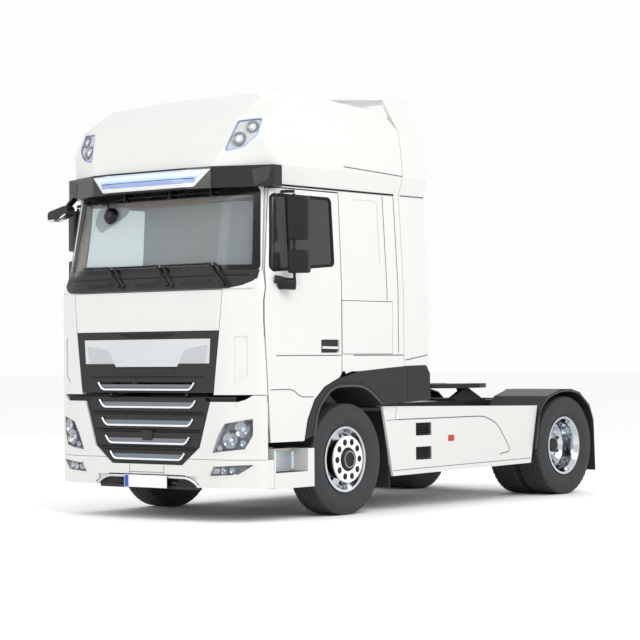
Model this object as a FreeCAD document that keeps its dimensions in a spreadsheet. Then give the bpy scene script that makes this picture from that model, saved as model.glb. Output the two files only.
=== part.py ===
# A two-axle tractor unit: a high-roof sleeper cab over the engine, on a ladder frame with a
# coupling plate ahead of the twin-tyred rear axle.
# +X is the vehicle's left, -Y its front, +Z up. The origin is on the ground, midway between
# the face of the number plate and the tail of the frame. Lengths are in millimetres.
import FreeCAD, Part
import math
import os
import Sketcher
from FreeCAD import Placement, Rotation, Vector

os.makedirs("parts", exist_ok=True)
doc = FreeCAD.newDocument("tractor_unit")
sheet = doc.addObject("Spreadsheet::Sheet", "Sizes")

SIZES = {
    # whole vehicle; lengths back along the vehicle start at the bumper's face
    "overall_length": 5800, "plate_stand": 20, "wheel_base": 3600, "front_overhang": 1380,
    "axle_height": 505, "cab_half": 1240, "seat_gap": 0.3, "panel_gap": 12,
    # tyres and rims
    "tyre_radius": 505, "tyre_half": 157, "tread_half": 135, "bead_radius": 290, "rim_radius": 298,
    "rim_half": 125, "rim_wall": 14, "rim_well": 250, "front_track_half": 1045,
    "rear_outer_half": 1090, "rear_inner_half": 745, "disc_thick": 14, "front_dish": 72,
    "hub_radius": 120, "spindle_radius": 38, "spindle_play": 0.5,
    "disc_flat": 178, "hand_hole_place": 213, "hand_hole_radius": 20, "dish_join": 52,
    "rotor_radius": 215, "rotor_thick": 40,
    # front axle and steering
    "kingpin_half": 905, "kingpin_radius": 22, "boss_radius": 45, "boss_half": 50,
    "beam_half_deep": 50, "beam_drop": 55, "beam_low_half": 520, "beam_high_half": 700,
    "ear_thick": 34, "ear_gap": 5, "knuckle_reach": 75, "knuckle_wall": 23,
    "spring_low": 365, "spring_high": 455, "spring_half_long": 560, "spring_thick": 46,
    "spring_rise": 60, "hanger_long": 70,
    # frame
    "rail_outer": 425, "rail_flange": 75, "rail_wall": 8, "rail_bottom": 715, "rail_top": 975,
    "rail_start": 400, "member_thick": 60, "member_inset": 20, "member_first": 520,
    "member_second": 2790, "member_third": 3860, "member_fourth": 5480, "tail_inset": 70,
    "beam_bottom": 395, "beam_top": 495, "beam_reach": 800, "beam_deep": 70,
    # engine, radiator and drive
    "engine_half": 335, "engine_front": 660, "engine_rear": 1930, "engine_bottom": 580,
    "engine_top": 1320, "gearbox_half": 240, "gearbox_rear": 2700, "gearbox_bottom": 400,
    "gearbox_top": 900, "mount_front": 1150, "mount_long": 120, "mount_bottom": 790,
    "mount_top": 870, "radiator_front": 420, "radiator_rear": 510, "radiator_bottom": 600,
    "radiator_top": 1240, "shaft_radius": 55, "axle_tube": 80, "diff_radius": 205,
    "diff_half": 110, "nose_long": 250, "nose_radius": 90, "rear_tube_half": 820,
    "rear_hub_start": 832, "rear_hub_end": 1075,
    # rear air suspension
    "beam_inner": 360, "beam_outer": 460, "bellow_radius": 118, "bellow_step": 400,
    "bellow_beam_thick": 60, "bellow_beam_half": 500,
    # bumper, lamps and lower grille
    "nose_half": 920, "nose_corner": 170, "nose_round": 380, "side_round": 110,
    "bumper_bottom": 300, "bumper_top": 545, "bumper_rear": 295, "bumper_wall": 70,
    "panel_bottom": 549, "panel_top": 1049, "panel_rear": 240, "panel_end": 216, "panel_wall": 60,
    "grille_bottom": 490, "grille_low_half": 430, "grille_wide_half": 640, "grille_wide": 650,
    "grille_top_half": 765, "grille_inset": 14, "grille_thick": 40,
    "bar_thick": 13, "bar_proud": 4, "bar_deep": 24, "fog_inner_low": 750, "fog_low": 405,
    "fog_outer_low": 1030, "fog_outer_up": 420, "fog_tip": 1158, "fog_tip_up": 506,
    "fog_outer_high": 1020, "fog_high": 500, "fog_inner_high": 800, "fog_inner_up": 485,
    "slot_first": 985, "slot_pitch": 137, "slot_high": 62, "slot_half": 590, "slot_taper": 48,
    "lamp_inset": 8, "lamp_inner": 785, "lamp_inner_high": 920, "lamp_outer": 1150,
    "lamp_outer_low": 1085, "lamp_low": 606, "lamp_low_outer": 640, "lamp_high": 860,
    "lamp_high_outer": 903, "lamp_middle": 760,
    "valance_half": 600, "valance_bottom": 275, "valance_top": 395, "valance_inset": 25,
    "plate_half": 260, "plate_low": 284, "plate_high": 394, "plate_thick": 4, "plate_edge": 8,
    # steps
    "step_inner": 1000, "step_front": 300, "step_rear": 846, "step_skew": 71, "step_bottom": 290,
    "step_top": 629, "step_tread": 427, "step_wall": 18, "step_arm_front": 480,
    "step_arm_rear": 560, "step_arm_bottom": 560, "step_arm_top": 640,
    # skirts, tanks and deck
    "skirt_inner": 1180, "skirt_outer": 1205, "skirt_front_top": 1896, "skirt_front_bottom": 2050,
    "skirt_rear_top": 4495, "skirt_rear_bottom": 4370, "skirt_top": 974, "skirt_tail_top": 927,
    "skirt_bottom": 322, "skirt_tail_bottom": 350, "vent_front": 2410, "vent_rear": 2660,
    "vent_low": 458, "vent_mid_low": 580, "vent_mid_high": 686, "vent_high": 807,
    "tank_inner": 480, "tank_outer": 1120, "tank_front": 2420, "tank_rear": 4180,
    "tank_bottom": 400, "tank_top": 900, "tank_round": 70, "tank_strap": 90, "rib_thick": 30,
    "deck_front": 2480, "deck_rear": 3760, "deck_thick": 8, "deck_half": 470,
    # flaps behind the front wheels
    "flap_inner": 760, "flap_outer": 1172, "flap_front_top": 1948, "flap_front_low": 2032,
    "flap_thick": 14, "flap_high": 930, "flap_low": 215, "flap_arm_low": 735,
    "flap_arm_high": 785,
    # rear mudguards
    "guard_inner": 580, "guard_outer": 1240, "guard_thick": 14, "guard_front": 565,
    "guard_front_mid": 484, "guard_front_top": 342, "guard_rear_top": 272, "guard_rear_mid": 466,
    "guard_rear": 543, "guard_tail": 574, "guard_low": 225, "guard_front_low": 479,
    "guard_shoulder": 893, "guard_upper": 1020, "guard_high": 1088, "guard_web": 12,
    "guard_arm_low": 890, "guard_arm_high": 950,
    # coupling
    "coupling_ahead": 560, "coupling_top": 1150, "coupling_thick": 45, "coupling_half": 450,
    "coupling_front": 430, "coupling_tail": 420, "throat_half": 55,
    "throat_open": 170, "pivot_height": 1085, "pivot_radius": 20, "ped_inner": 330,
    "ped_outer": 385, "ped_half_long": 270, "ped_foot": 22, "ped_gap": 8, "lug_wall": 24,
    # cab form, from below: half width, front face, start of the corner sweep, corner, rear
    "cab_bottom": 1110, "cab_belt": 2030, "cab_sill": 2200, "cab_eaves": 2945, "cab_rear": 2190,
    "cab_wall": 50, "sill_half": 1232, "sill_front": 55, "sill_nose": 880, "sill_corner": 250,
    "eaves_half": 1188, "eaves_front": 240, "eaves_nose": 760, "eaves_corner": 350,
    "rear_round": 12, "floor_bottom": 1380, "floor_top": 1430,
    "wall_front": 250, "wall_rear": 290, "wall_top": 2028,
    # openings of the cab
    "hatch_half_top": 902, "hatch_half_mid": 868, "hatch_half_low": 798, "hatch_mid": 1678,
    "hatch_top": 2024, "hatch_bottom": 1127, "hatch_thick": 20, "hatch_gap": 7,
    "grille2_top": 1668, "badge_half": 770, "badge_low": 1385, "badge_high": 1600,
    "cowl_half": 1165, "cowl_low": 2034, "cowl_high": 2195, "cowl_proud": 14,
    "glass_low_half": 1112, "glass_top_half": 1022, "glass_low": 2212, "glass_high": 2902,
    "glass_inset": 5, "glass_thick": 7, "glass_gap": 1, "glass_round": 60,
    "door_front": 192, "door_front_top": 340, "door_front_low": 252, "door_rear": 1245,
    "door_rear_top": 1266, "door_top": 2912, "door_mid": 1930, "door_sill": 695,
    "door_foot_rear": 708, "door_step1": 752, "door_step1_up": 880, "door_step2": 852,
    "door_step2_up": 1056, "door_step3": 996, "door_step3_up": 1170, "door_step4": 1212,
    "door_step4_up": 1249, "door_wall": 45, "window_front": 268, "window_front_top": 350,
    "window_rear": 1160, "window_low": 2180, "window_rear_low": 2252, "window_high": 2862,
    "window_round": 45,
    "blind_front": 1452, "blind_rear": 1846, "blind_low": 2262, "blind_high": 2872,
    "blind_deep": 6, "handle_front": 954, "handle_rear": 1214, "handle_low": 1470,
    "handle_high": 1587, "handle_deep": 18, "scoop_inner": 1003, "scoop_outer": 1112,
    "scoop_low": 1198, "scoop_low_outer": 1284, "scoop_high": 1620, "scoop_deep": 8,
    "lid_front": 1262, "lid_rear": 2008, "lid_low": 1462, "lid_high": 1940,
    "lid_wall": 28, "lip_wide": 14, "lip_lap": 24, "hinge_half": 20, "hinge_place": 420,
    "under_rear": 1345, "under_mid": 1332, "under_front": 1303, "under_start": 1509,
    "under_far": 1961,
    # roof, level by level: half width, height, front face, end of its flat front, side corner
    "roof_wall": 40, "roof1_half": 1238, "roof1_up": 3112, "roof1_front": 85, "roof1_nose": 735,
    "roof1_corner": 340, "roof2_half": 1224, "roof2_up": 3320, "roof2_front": 171,
    "roof2_nose": 815, "roof2_corner": 292, "roof3_half": 1186, "roof3_up": 3555,
    "roof3_front": 272, "roof3_nose": 880, "roof3_corner": 395, "roof4_half": 1060,
    "roof4_up": 3745, "roof4_front": 530, "roof4_nose": 930, "roof4_corner": 640,
    "roof5_half": 700, "roof5_up": 3842, "roof5_front": 880, "roof5_nose": 560,
    "roof5_corner": 1050, "roof4_rear": 2080, "roof5_rear": 1800, "crease_round": 45,
    # visor and lip across the roof's foot
    "visor_low": 2920, "visor_high": 3108, "visor_half": 1262, "visor_front": 28,
    "visor_rear": 400, "visor_corner": 290, "lip_front_half": 470, "lip_front": 2,
    "lip_sweep": 72, "lip_half": 721, "lip_low_half": 553, "lip_low": 2936, "lip_high": 3088,
    "lip_rear": 42, "lip_end_rear": 88, "lip_round": 40, "band_half": 620,
    "band_low_half": 560, "band_low": 2975, "band_high": 3068, "band_deep": 14,
    # roof lamps, corner by corner from the inner foot round the outside
    "roof_lamp_deep": 26, "roof_lamp_in": 812, "roof_lamp_in_up": 3235, "roof_lamp_mid": 985,
    "roof_lamp_mid_up": 3275, "roof_lamp_out": 1090, "roof_lamp_out_up": 3370,
    "roof_lamp_top": 1095, "roof_lamp_top_up": 3530, "roof_lamp_head": 880,
    "roof_lamp_head_up": 3515, "roof_lamp_round": 22,
    # kerb mirror under the visor's right-hand end
    "kerb_inner": 1030, "kerb_outer": 1290, "kerb_front": 36, "kerb_rear": 136,
    "kerb_low": 2700, "kerb_high": 2862, "kerb_drop": 60, "kerb_arm": 24,
    # rear deflectors
    "fin_rear": 2590, "fin_wall": 30, "fin_low": 1352, "fin_top": 3690, "cap_high": 3905,
    "cap_front": 1760, "cap_rear": 2630, "cap_front_half": 690, "cap_half": 1000,
    "cap_wall": 30, "cap_lip": 10,
    # wheel arches of the cab
    "arch_inner": 1152, "arch_skin": 1238, "arch_foot": 705,
    "arch_rear": 2600, "arch_rear_low": 1021, "arch_tail": 1850, "arch_tail_low": 989,
    "mouth_foot": 862, "mouth_front": 915, "mouth_front_up": 965, "mouth_head": 1130,
    "mouth_high": 1163, "mouth_crown": 1600, "mouth_tail": 1862, "mouth_tail_up": 975,
    "mouth_round": 250, "mouth_round_wide": 320, "arch_liner_from": 960,
    "arch_liner_inner": 720, "liner_thick": 14,
    # cab inside
    "dash_front": 300, "dash_rear": 720, "dash_low": 1900, "dash_high": 2230, "dash_half": 1115,
    "dash_shelf": 150, "shelf_thick": 40,
    "seat_half": 240, "seat_side": 640, "seat_front": 900, "seat_rear": 1390, "seat_low": 1760,
    "seat_high": 1900, "back_thick": 130, "back_high": 2620, "bunk_front": 1560,
    "bunk_low": 1960, "bunk_high": 2100, "column_radius": 30, "column_long": 120,
    "wheel_ring": 225,
    "wheel_tube": 16, "column_y": 700, "column_z": 2230, "steer_lean": 30,
    # cab tilt pivot and rear mounts
    "tilt_back": 45, "tilt_up": 1100, "pin_radius": 10, "arm_inner": 395, "arm_outer": 445,
    "ear_inner": 455, "ear_outer": 475, "ear_round": 18, "arm_round": 12, "rest_front": 2030,
    "rest_rear": 2110, "rest_half": 600, "rest_low": 1200, "rest_high": 1260, "rest_pad": 70,
    # mirrors and tail lamps
    "mirror_inner": 1300, "mirror_wide": 206, "mirror_turn": 25, "mirror_front": 400,
    "mirror_deep": 90, "mirror_round": 24, "mirror_low": 2455, "mirror_high": 2835,
    "small_low": 2165, "small_high": 2365, "post_radius": 13, "foot_low": 2020,
    "foot_high": 2130, "foot_front": 330, "foot_rear": 440, "arm_skin": 1193, "arm_low": 2868,
    "arm_high": 2896, "arm_rear": 490, "tail_lamp_inner": 445,
    "tail_lamp_outer": 780, "tail_lamp_low": 760, "tail_lamp_high": 880, "tail_lamp_deep": 70,
}


class Size:
    """A length that carries its number and the sheet expression that gives it."""

    def __init__(self, number, text):
        self.number = number
        self.text = text

    def __add__(self, other):
        return Size(self.number + number(other), f"({self.text} + {words(other)})")

    def __radd__(self, other):
        return self + other

    def __sub__(self, other):
        return Size(self.number - number(other), f"({self.text} - {words(other)})")

    def __rsub__(self, other):
        return Size(number(other) - self.number, f"({words(other)} - {self.text})")

    def __mul__(self, factor):
        return Size(self.number * number(factor), f"({self.text} * {words(factor)})")

    def __rmul__(self, factor):
        return self * factor

    def __truediv__(self, factor):
        return Size(self.number / number(factor), f"({self.text} / {words(factor)})")

    def __neg__(self):
        return Size(-self.number, f"(-{self.text})")


def number(value):
    return value.number if isinstance(value, Size) else float(value)


def words(value):
    return value.text if isinstance(value, Size) else repr(float(value))


class Cells:
    """The sheet's cells by name, each as a Size."""


S = Cells()
for row, (alias, figure) in enumerate(SIZES.items(), start=1):
    sheet.set(f"A{row}", alias)
    sheet.set(f"B{row}", str(figure))
    sheet.setAlias(f"B{row}", alias)
    setattr(S, alias, Size(float(figure), f"Sizes.{alias}"))
doc.recompute()

AXES = {"X": Vector(1, 0, 0), "Y": Vector(0, 1, 0), "Z": Vector(0, 0, 1)}
PLANES = {
    "XY": ("Z", Rotation()),
    "XZ": ("Y", Rotation(Vector(1, 0, 0), 90)),
    "YZ": ("X", Rotation(Vector(1, 1, 1), 120)),
}
ROD_TURNS = {
    "X": Rotation(Vector(0, 1, 0), 90),
    "Y": Rotation(Vector(1, 0, 0), -90),
    "Z": Rotation(),
}
nodes = []


def bind(thing, prop, value):
    """Give a property its number, and tie it to the sheet where it comes from there."""
    if isinstance(value, Size):
        thing.setExpression(prop, value.text)
    elif "." not in prop:
        setattr(thing, prop, float(value))


def put(thing, x=0.0, y=0.0, z=0.0, turn=None):
    """Place an object by its base point, each coordinate tied to the sheet."""
    base = Vector(number(x), number(y), number(z))
    thing.Placement = Placement(base, turn if turn else Rotation())
    for letter, value in (("x", x), ("y", y), ("z", z)):
        bind(thing, f"Placement.Base.{letter}", value)
    return thing


def box(name, x, y, z):
    """A block between the low and high limits of each axis."""
    thing = doc.addObject("Part::Box", name)
    for side, (low, high) in zip(("Length", "Width", "Height"), (x, y, z)):
        bind(thing, side, high - low)
    return put(thing, x[0], y[0], z[0])


def rod(name, axis, across, radius, low, high):
    """A cylinder along an axis; across is its centre in the other two axes, in order."""
    thing = doc.addObject("Part::Cylinder", name)
    bind(thing, "Radius", radius)
    bind(thing, "Height", high - low)
    centre = dict(zip([letter for letter in "XYZ" if letter != axis], across))
    centre[axis] = low
    return put(thing, centre["X"], centre["Y"], centre["Z"], ROD_TURNS[axis])


def outline(name, plane, points, level, host=None):
    """A closed sketch. Each corner is held by two bound distances, and a corner with a third
    value is rounded to that radius."""
    kind = "Sketcher::SketchObject"
    sketch = host.newObject(kind, name) if host else doc.addObject(kind, name)
    corners = [Vector(number(point[0]), number(point[1]), 0) for point in points]
    count = len(corners)
    for i in range(count):
        line = Part.LineSegment(corners[i], corners[(i + 1) % count])
        sketch.addGeometry(line, False)
    for i in range(count):
        sketch.addConstraint(Sketcher.Constraint("Coincident", i, 2, (i + 1) % count, 1))
    for i, point in enumerate(points):
        for kind, value in (("DistanceX", point[0]), ("DistanceY", point[1])):
            index = sketch.addConstraint(Sketcher.Constraint(kind, -1, 1, i, 1, number(value)))
            label = f"{kind[-1].lower()}{i}"
            sketch.renameConstraint(index, label)
            bind(sketch, f"Constraints.{label}", value)
    for i, point in enumerate(points):
        if len(point) < 3:
            continue
        before = (i - 1) % count
        from_side = corners[i] + (corners[before] - corners[i]) * 0.1
        to_side = corners[i] + (corners[(i + 1) % count] - corners[i]) * 0.1
        sketch.fillet(before, i, from_side, to_side, number(point[2]), True, True)
        arcs = [k for k, item in enumerate(sketch.Geometry) if isinstance(item, Part.ArcOfCircle)]
        index = sketch.addConstraint(Sketcher.Constraint("Radius", arcs[-1], number(point[2])))
        sketch.renameConstraint(index, f"round{i}")
        bind(sketch, f"Constraints.round{i}", point[2])
    axis, turn = PLANES[plane]
    if host:
        planes = [item for item in host.Origin.OriginFeatures if item.Role == f"{plane}_Plane"]
        sketch.AttachmentSupport = [(planes[0], "")]
        sketch.MapMode = "FlatFace"
        return sketch
    where = {"X": 0.0, "Y": 0.0, "Z": 0.0}
    where[axis] = level
    put(sketch, where["X"], where["Y"], where["Z"], turn)
    return sketch


def prism(name, plane, points, low, high):
    """An outline drawn out along the axis across its plane, from low to high."""
    thing = doc.addObject("Part::Extrusion", name)
    thing.Base = outline(f"{name}_outline", plane, points, low)
    thing.DirMode = "Custom"
    thing.Dir = AXES[PLANES[plane][0]]
    thing.Solid = True
    bind(thing, "LengthFwd", high - low)
    return thing


def loft(name, sections):
    thing = doc.addObject("Part::Loft", name)
    thing.Sections = sections
    thing.Solid = True
    thing.Ruled = True
    return thing


def fuse(name, *pieces):
    thing = doc.addObject("Part::MultiFuse", name)
    thing.Shapes = list(pieces)
    return thing


def group(name, *pieces):
    thing = doc.addObject("Part::Compound", name)
    thing.Links = list(pieces)
    return thing


def cut(name, base, *tools):
    thing = doc.addObject("Part::Cut", name)
    thing.Base = base
    thing.Tool = tools[0] if len(tools) == 1 else fuse(f"{name}_tools", *tools)
    return thing


def common(name, *pieces):
    thing = doc.addObject("Part::MultiCommon", name)
    thing.Shapes = list(pieces)
    return thing


def mirror(name, thing):
    """The same piece on the vehicle's other side."""
    other = doc.addObject("Part::Mirroring", name)
    other.Source = thing
    other.Normal = AXES["X"]
    return other


def node(name, thing):
    """Name a finished sub-part; its label names its file."""
    thing.Label = name
    nodes.append(thing)
    return thing


def pair(name, thing):
    """A left-hand sub-part and its right-hand mirror, as two nodes."""
    node(f"{name}_left", thing)
    node(f"{name}_right", mirror(f"{name}_other", thing))


def both(name, *pieces):
    """Like pieces on both sides of one body, as one node of solids that stand apart."""
    others = [mirror(f"{piece.Name}_other", piece) for piece in pieces]
    node(name, group(f"{name}_set", *pieces, *others))


FACE = -S.overall_length / 2 + S.plate_stand
TAIL = S.overall_length / 2


def back(distance):
    """A distance back from the bumper's face, as a Y coordinate."""
    return FACE + distance


FRONT_AXLE = back(S.front_overhang)
REAR_AXLE = FRONT_AXLE + S.wheel_base
COUPLING = REAR_AXLE - S.coupling_ahead
BIG = S.overall_length


def lathe(name, plane_points, x, y, z):
    """A piece turned about an axle: points are (radius, place along X)."""
    body = doc.addObject("PartDesign::Body", name)
    sketch = outline(f"{name}_profile", "XY", [(p[1], p[0]) for p in plane_points], 0.0, body)
    turned = body.newObject("PartDesign::Revolution", f"{name}_turned")
    turned.Profile = sketch
    turned.ReferenceAxis = (sketch, ["H_Axis"])
    turned.Angle = 360
    body.Tip = turned
    put(body, x, y, z)
    return body


# Tyres: a turned section with flat tread, rounded shoulders in three flats and a bead that
# stands just clear of the rim.
def tyre(name, x, y):
    bead = S.bead_radius + S.seat_gap
    shoulder = S.tyre_radius - S.tyre_half * 0.2
    widest = (S.tyre_radius + S.bead_radius) / 2
    over_flange = S.rim_radius + S.seat_gap
    bead_x = S.rim_half - S.rim_wall - S.seat_gap
    return lathe(name, [
        (bead, -bead_x), (over_flange, -bead_x), (widest * 0.93, -S.tyre_half * 0.97),
        (widest * 1.04, -S.tyre_half), (shoulder, -S.tread_half * 1.07),
        (S.tyre_radius, -S.tread_half), (S.tyre_radius, S.tread_half),
        (shoulder, S.tread_half * 1.07), (widest * 1.04, S.tyre_half),
        (widest * 0.93, S.tyre_half * 0.97), (over_flange, bead_x), (bead, bead_x),
    ], x, y, S.axle_height)


# Rims: a rolled barrel with two flanges and a dished disc, turned in one section, with ten
# hand holes cut round the disc's cone.
HAND_HOLES = 10


def rim(name, x, y, disc, join):
    """disc is how far the disc's outer face lies outboard of the rim's middle, and join is
    where its cone meets the barrel."""
    well = S.rim_well
    wall = S.rim_wall
    seat = S.bead_radius
    low = disc - S.disc_thick
    turned = lathe(name, [
        (S.rim_radius, -S.rim_half), (S.rim_radius, -S.rim_half + wall),
        (seat, -S.rim_half + wall), (well + wall, 0.0), (seat, S.rim_half - wall),
        (S.rim_radius, S.rim_half - wall), (S.rim_radius, S.rim_half),
        (seat - wall, S.rim_half), (well, S.rim_half - wall * 3),
        (well, join), (S.disc_flat, disc), (S.hub_radius, disc), (S.hub_radius, low),
        (S.disc_flat, low), (well, join - S.disc_thick),
        (well, -S.rim_half + wall * 3), (seat - wall, -S.rim_half),
    ], x, y, S.axle_height)
    holes = []
    for k in range(HAND_HOLES):
        turn = math.radians(360 * (k + 0.5) / HAND_HOLES)
        centre = (y + S.hand_hole_place * math.cos(turn),
                  S.axle_height + S.hand_hole_place * math.sin(turn))
        holes.append(rod(f"{name}_hand_hole{k}", "X", centre, S.hand_hole_radius,
                         x - S.rim_half, x + S.rim_half))
    return cut(f"{name}_pierced", turned, *holes)


# Hub: bored for its spindle, closed at the outer end, with the brake rotor at the inner end.
def hub(name, x, y, rotor, outer, bore_end):
    bore = S.spindle_radius + S.spindle_play
    turned = lathe(name, [
        (bore, rotor), (S.rotor_radius, rotor), (S.rotor_radius, rotor + S.rotor_thick),
        (S.hub_radius, rotor + S.rotor_thick), (S.hub_radius, outer - S.disc_thick),
        (S.hub_radius * 0.62, outer), (0.0, outer), (0.0, bore_end), (bore, bore_end),
    ], x, y, S.axle_height)
    return turned


# Front wheels: tyre, rim and hub turn together on the knuckle's spindle.
FRONT_DISC = S.front_dish
pair("tyre_front", tyre("front_tyre", S.front_track_half, FRONT_AXLE))
front_rim = rim("front_rim", S.front_track_half, FRONT_AXLE, FRONT_DISC, S.dish_join)
front_hub = hub("front_hub", S.front_track_half, FRONT_AXLE,
                -S.rotor_thick / 2 - S.rotor_thick, FRONT_DISC + S.rotor_thick, S.rotor_thick)
front_nuts = fuse("front_wheel", front_rim, front_hub)
pair("rim_front", front_nuts)

# Rear wheels: two tyres and two rims a side, back to back on one hub.
REAR_MIDDLE = (S.rear_outer_half + S.rear_inner_half) / 2
OUTER_DISC = REAR_MIDDLE - S.rear_outer_half + S.disc_thick
pair("tyres_rear", group("rear_tyres", tyre("rear_outer_tyre", S.rear_outer_half, REAR_AXLE),
                         tyre("rear_inner_tyre", S.rear_inner_half, REAR_AXLE)))
outer_rim = rim("rear_outer_rim", S.rear_outer_half, REAR_AXLE, OUTER_DISC, -S.dish_join)
INNER_DISC = REAR_MIDDLE - S.rear_inner_half
inner_rim = rim("rear_inner_rim", S.rear_inner_half, REAR_AXLE, INNER_DISC, S.dish_join)
rear_hub = hub("rear_hub", 0.0, REAR_AXLE, S.rear_hub_start, S.rear_hub_end,
               S.rear_hub_end - S.rotor_thick * 2)
pair("rims_rear", fuse("rear_wheel", outer_rim, inner_rim, rear_hub))

# Front axle: a dropped beam with a boss at each end for its kingpin, and pads for the springs.
beam_up = S.axle_height + S.boss_half
beam_points = [
    (-S.kingpin_half, beam_up - S.boss_half * 2), (-S.beam_high_half, beam_up - S.boss_half * 2),
    (-S.beam_low_half, beam_up - S.boss_half * 2 - S.beam_drop),
    (S.beam_low_half, beam_up - S.boss_half * 2 - S.beam_drop),
    (S.beam_high_half, beam_up - S.boss_half * 2), (S.kingpin_half, beam_up - S.boss_half * 2),
    (S.kingpin_half, beam_up), (S.beam_high_half, beam_up),
    (S.beam_low_half, beam_up - S.beam_drop), (-S.beam_low_half, beam_up - S.beam_drop),
    (-S.beam_high_half, beam_up), (-S.kingpin_half, beam_up),
]
axle_pieces = [prism("front_beam", "XZ", beam_points, FRONT_AXLE - S.boss_radius,
                     FRONT_AXLE + S.boss_radius)]
PAD_TOP = beam_up + S.spring_rise / 2
for side, tag in ((1, "left"), (-1, "right")):
    pin_x = S.kingpin_half * side
    axle_pieces.append(rod(f"boss_{tag}", "Z", (pin_x, FRONT_AXLE), S.boss_radius,
                           beam_up - S.boss_half * 2, beam_up))
    axle_pieces.append(rod(f"kingpin_{tag}", "Z", (pin_x, FRONT_AXLE), S.kingpin_radius,
                           beam_up - S.boss_half * 2 - S.ear_gap - S.ear_thick,
                           beam_up + S.ear_gap + S.ear_thick))
    low, high = (S.spring_low, S.spring_high) if side > 0 else (-S.spring_high, -S.spring_low)
    axle_pieces.append(box(f"spring_pad_{tag}", (low, high),
                           (FRONT_AXLE - S.boss_radius * 2, FRONT_AXLE + S.boss_radius * 2),
                           (beam_up - S.beam_drop - S.boss_half, PAD_TOP)))
node("front_axle", fuse("front_axle_beam", *axle_pieces))

# Leaf springs: a pack of leaves that dips to the axle pad, hung from the frame at both ends.
leaf_front = FRONT_AXLE - S.spring_half_long
leaf_rear = FRONT_AXLE + S.spring_half_long
leaf_end = PAD_TOP + S.spring_rise
leaf_points = [
    (leaf_front, leaf_end), (FRONT_AXLE - S.boss_radius * 2, PAD_TOP + S.seat_gap),
    (FRONT_AXLE + S.boss_radius * 2, PAD_TOP + S.seat_gap), (leaf_rear, leaf_end),
    (leaf_rear, leaf_end + S.spring_thick),
    (FRONT_AXLE + S.boss_radius * 2, PAD_TOP + S.spring_thick),
    (FRONT_AXLE - S.boss_radius * 2, PAD_TOP + S.spring_thick),
    (leaf_front, leaf_end + S.spring_thick),
]
leaf = prism("leaf_pack", "YZ", leaf_points, S.spring_low, S.spring_high)
hanger_top = S.rail_bottom - S.seat_gap
front_hanger = box("front_hanger", (S.spring_low, S.spring_high),
                   (leaf_front, leaf_front + S.hanger_long), (leaf_end, hanger_top))
rear_hanger = box("rear_hanger", (S.spring_low, S.spring_high),
                  (leaf_rear - S.hanger_long, leaf_rear), (leaf_end, hanger_top))
both("leaf_springs", fuse("leaf_assembly", leaf, front_hanger, rear_hanger))

# Knuckles: two ears round the kingpin, a web, and the spindle that the hub turns on.
web_start = S.kingpin_half + S.knuckle_reach - S.knuckle_wall
ear_low = beam_up - S.boss_half * 2 - S.ear_gap - S.ear_thick
ear_high = beam_up + S.ear_gap + S.ear_thick
ears = []
for level, tag in ((ear_low, "low"), (ear_high - S.ear_thick, "high")):
    ears.append(rod(f"ear_{tag}", "Z", (S.kingpin_half, FRONT_AXLE), S.boss_radius,
                    level, level + S.ear_thick))
    ears.append(box(f"ear_arm_{tag}", (S.kingpin_half, web_start),
                    (FRONT_AXLE - S.boss_radius, FRONT_AXLE + S.boss_radius),
                    (level, level + S.ear_thick)))
web = box("knuckle_web", (web_start, web_start + S.knuckle_wall),
          (FRONT_AXLE - S.boss_radius * 1.5, FRONT_AXLE + S.boss_radius * 1.5),
          (ear_low, ear_high))
spindle = rod("spindle", "X", (FRONT_AXLE, S.axle_height), S.spindle_radius, web_start,
              S.front_track_half + S.rotor_thick - S.ear_gap)
pin_hole = rod("pin_hole", "Z", (S.kingpin_half, FRONT_AXLE), S.kingpin_radius + S.seat_gap,
               ear_low - S.ear_gap, ear_high + S.ear_gap)
pair("knuckle", cut("knuckle_body", fuse("knuckle_solid", *ears, web, spindle), pin_hole))

# Frame: two channel rails, tube members between their webs, a tail member, horns that carry
# the front underrun beam.
rail_points = [
    (S.rail_outer, S.rail_bottom), (S.rail_outer, S.rail_top),
    (S.rail_outer - S.rail_flange, S.rail_top),
    (S.rail_outer - S.rail_flange, S.rail_top - S.rail_wall),
    (S.rail_outer - S.rail_wall, S.rail_top - S.rail_wall),
    (S.rail_outer - S.rail_wall, S.rail_bottom + S.rail_wall),
    (S.rail_outer - S.rail_flange, S.rail_bottom + S.rail_wall),
    (S.rail_outer - S.rail_flange, S.rail_bottom),
]
rail = prism("rail", "XZ", rail_points, back(S.rail_start), TAIL - S.tail_inset)
horn_points = [
    (back(S.beam_deep) + S.bumper_wall + S.seat_gap, S.beam_bottom),
    (back(S.rail_start) + S.rail_flange, S.rail_bottom + S.rail_wall),
    (back(S.rail_start) + S.rail_flange, S.rail_top - S.rail_wall),
    (back(S.rail_start), S.rail_top - S.rail_wall),
    (back(S.beam_deep) + S.bumper_wall + S.seat_gap, S.beam_top),
]
horn = prism("horn", "YZ", horn_points, S.rail_outer - S.rail_flange / 2, S.rail_outer)
web_x = S.rail_outer - S.rail_wall
frame_pieces = [rail, mirror("rail_other", rail), horn, mirror("horn_other", horn)]
members = (S.member_first, S.member_second, S.member_third, S.member_fourth)
for i, place in enumerate(members):
    frame_pieces.append(box(f"member{i}", (-web_x, web_x),
                            (back(place), back(place) + S.member_thick),
                            (S.rail_bottom + S.member_inset, S.rail_top - S.member_inset)))
frame_pieces.append(box("tail_member", (-S.rail_outer, S.rail_outer),
                        (TAIL - S.tail_inset, TAIL), (S.rail_bottom, S.rail_top)))
frame_pieces.append(box("underrun_beam", (-S.beam_reach, S.beam_reach),
                        (back(S.bumper_wall) + S.seat_gap,
                         back(S.beam_deep) + S.bumper_wall + S.seat_gap),
                        (S.beam_bottom, S.beam_top)))
node("frame_ladder", fuse("ladder", *frame_pieces))

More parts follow.
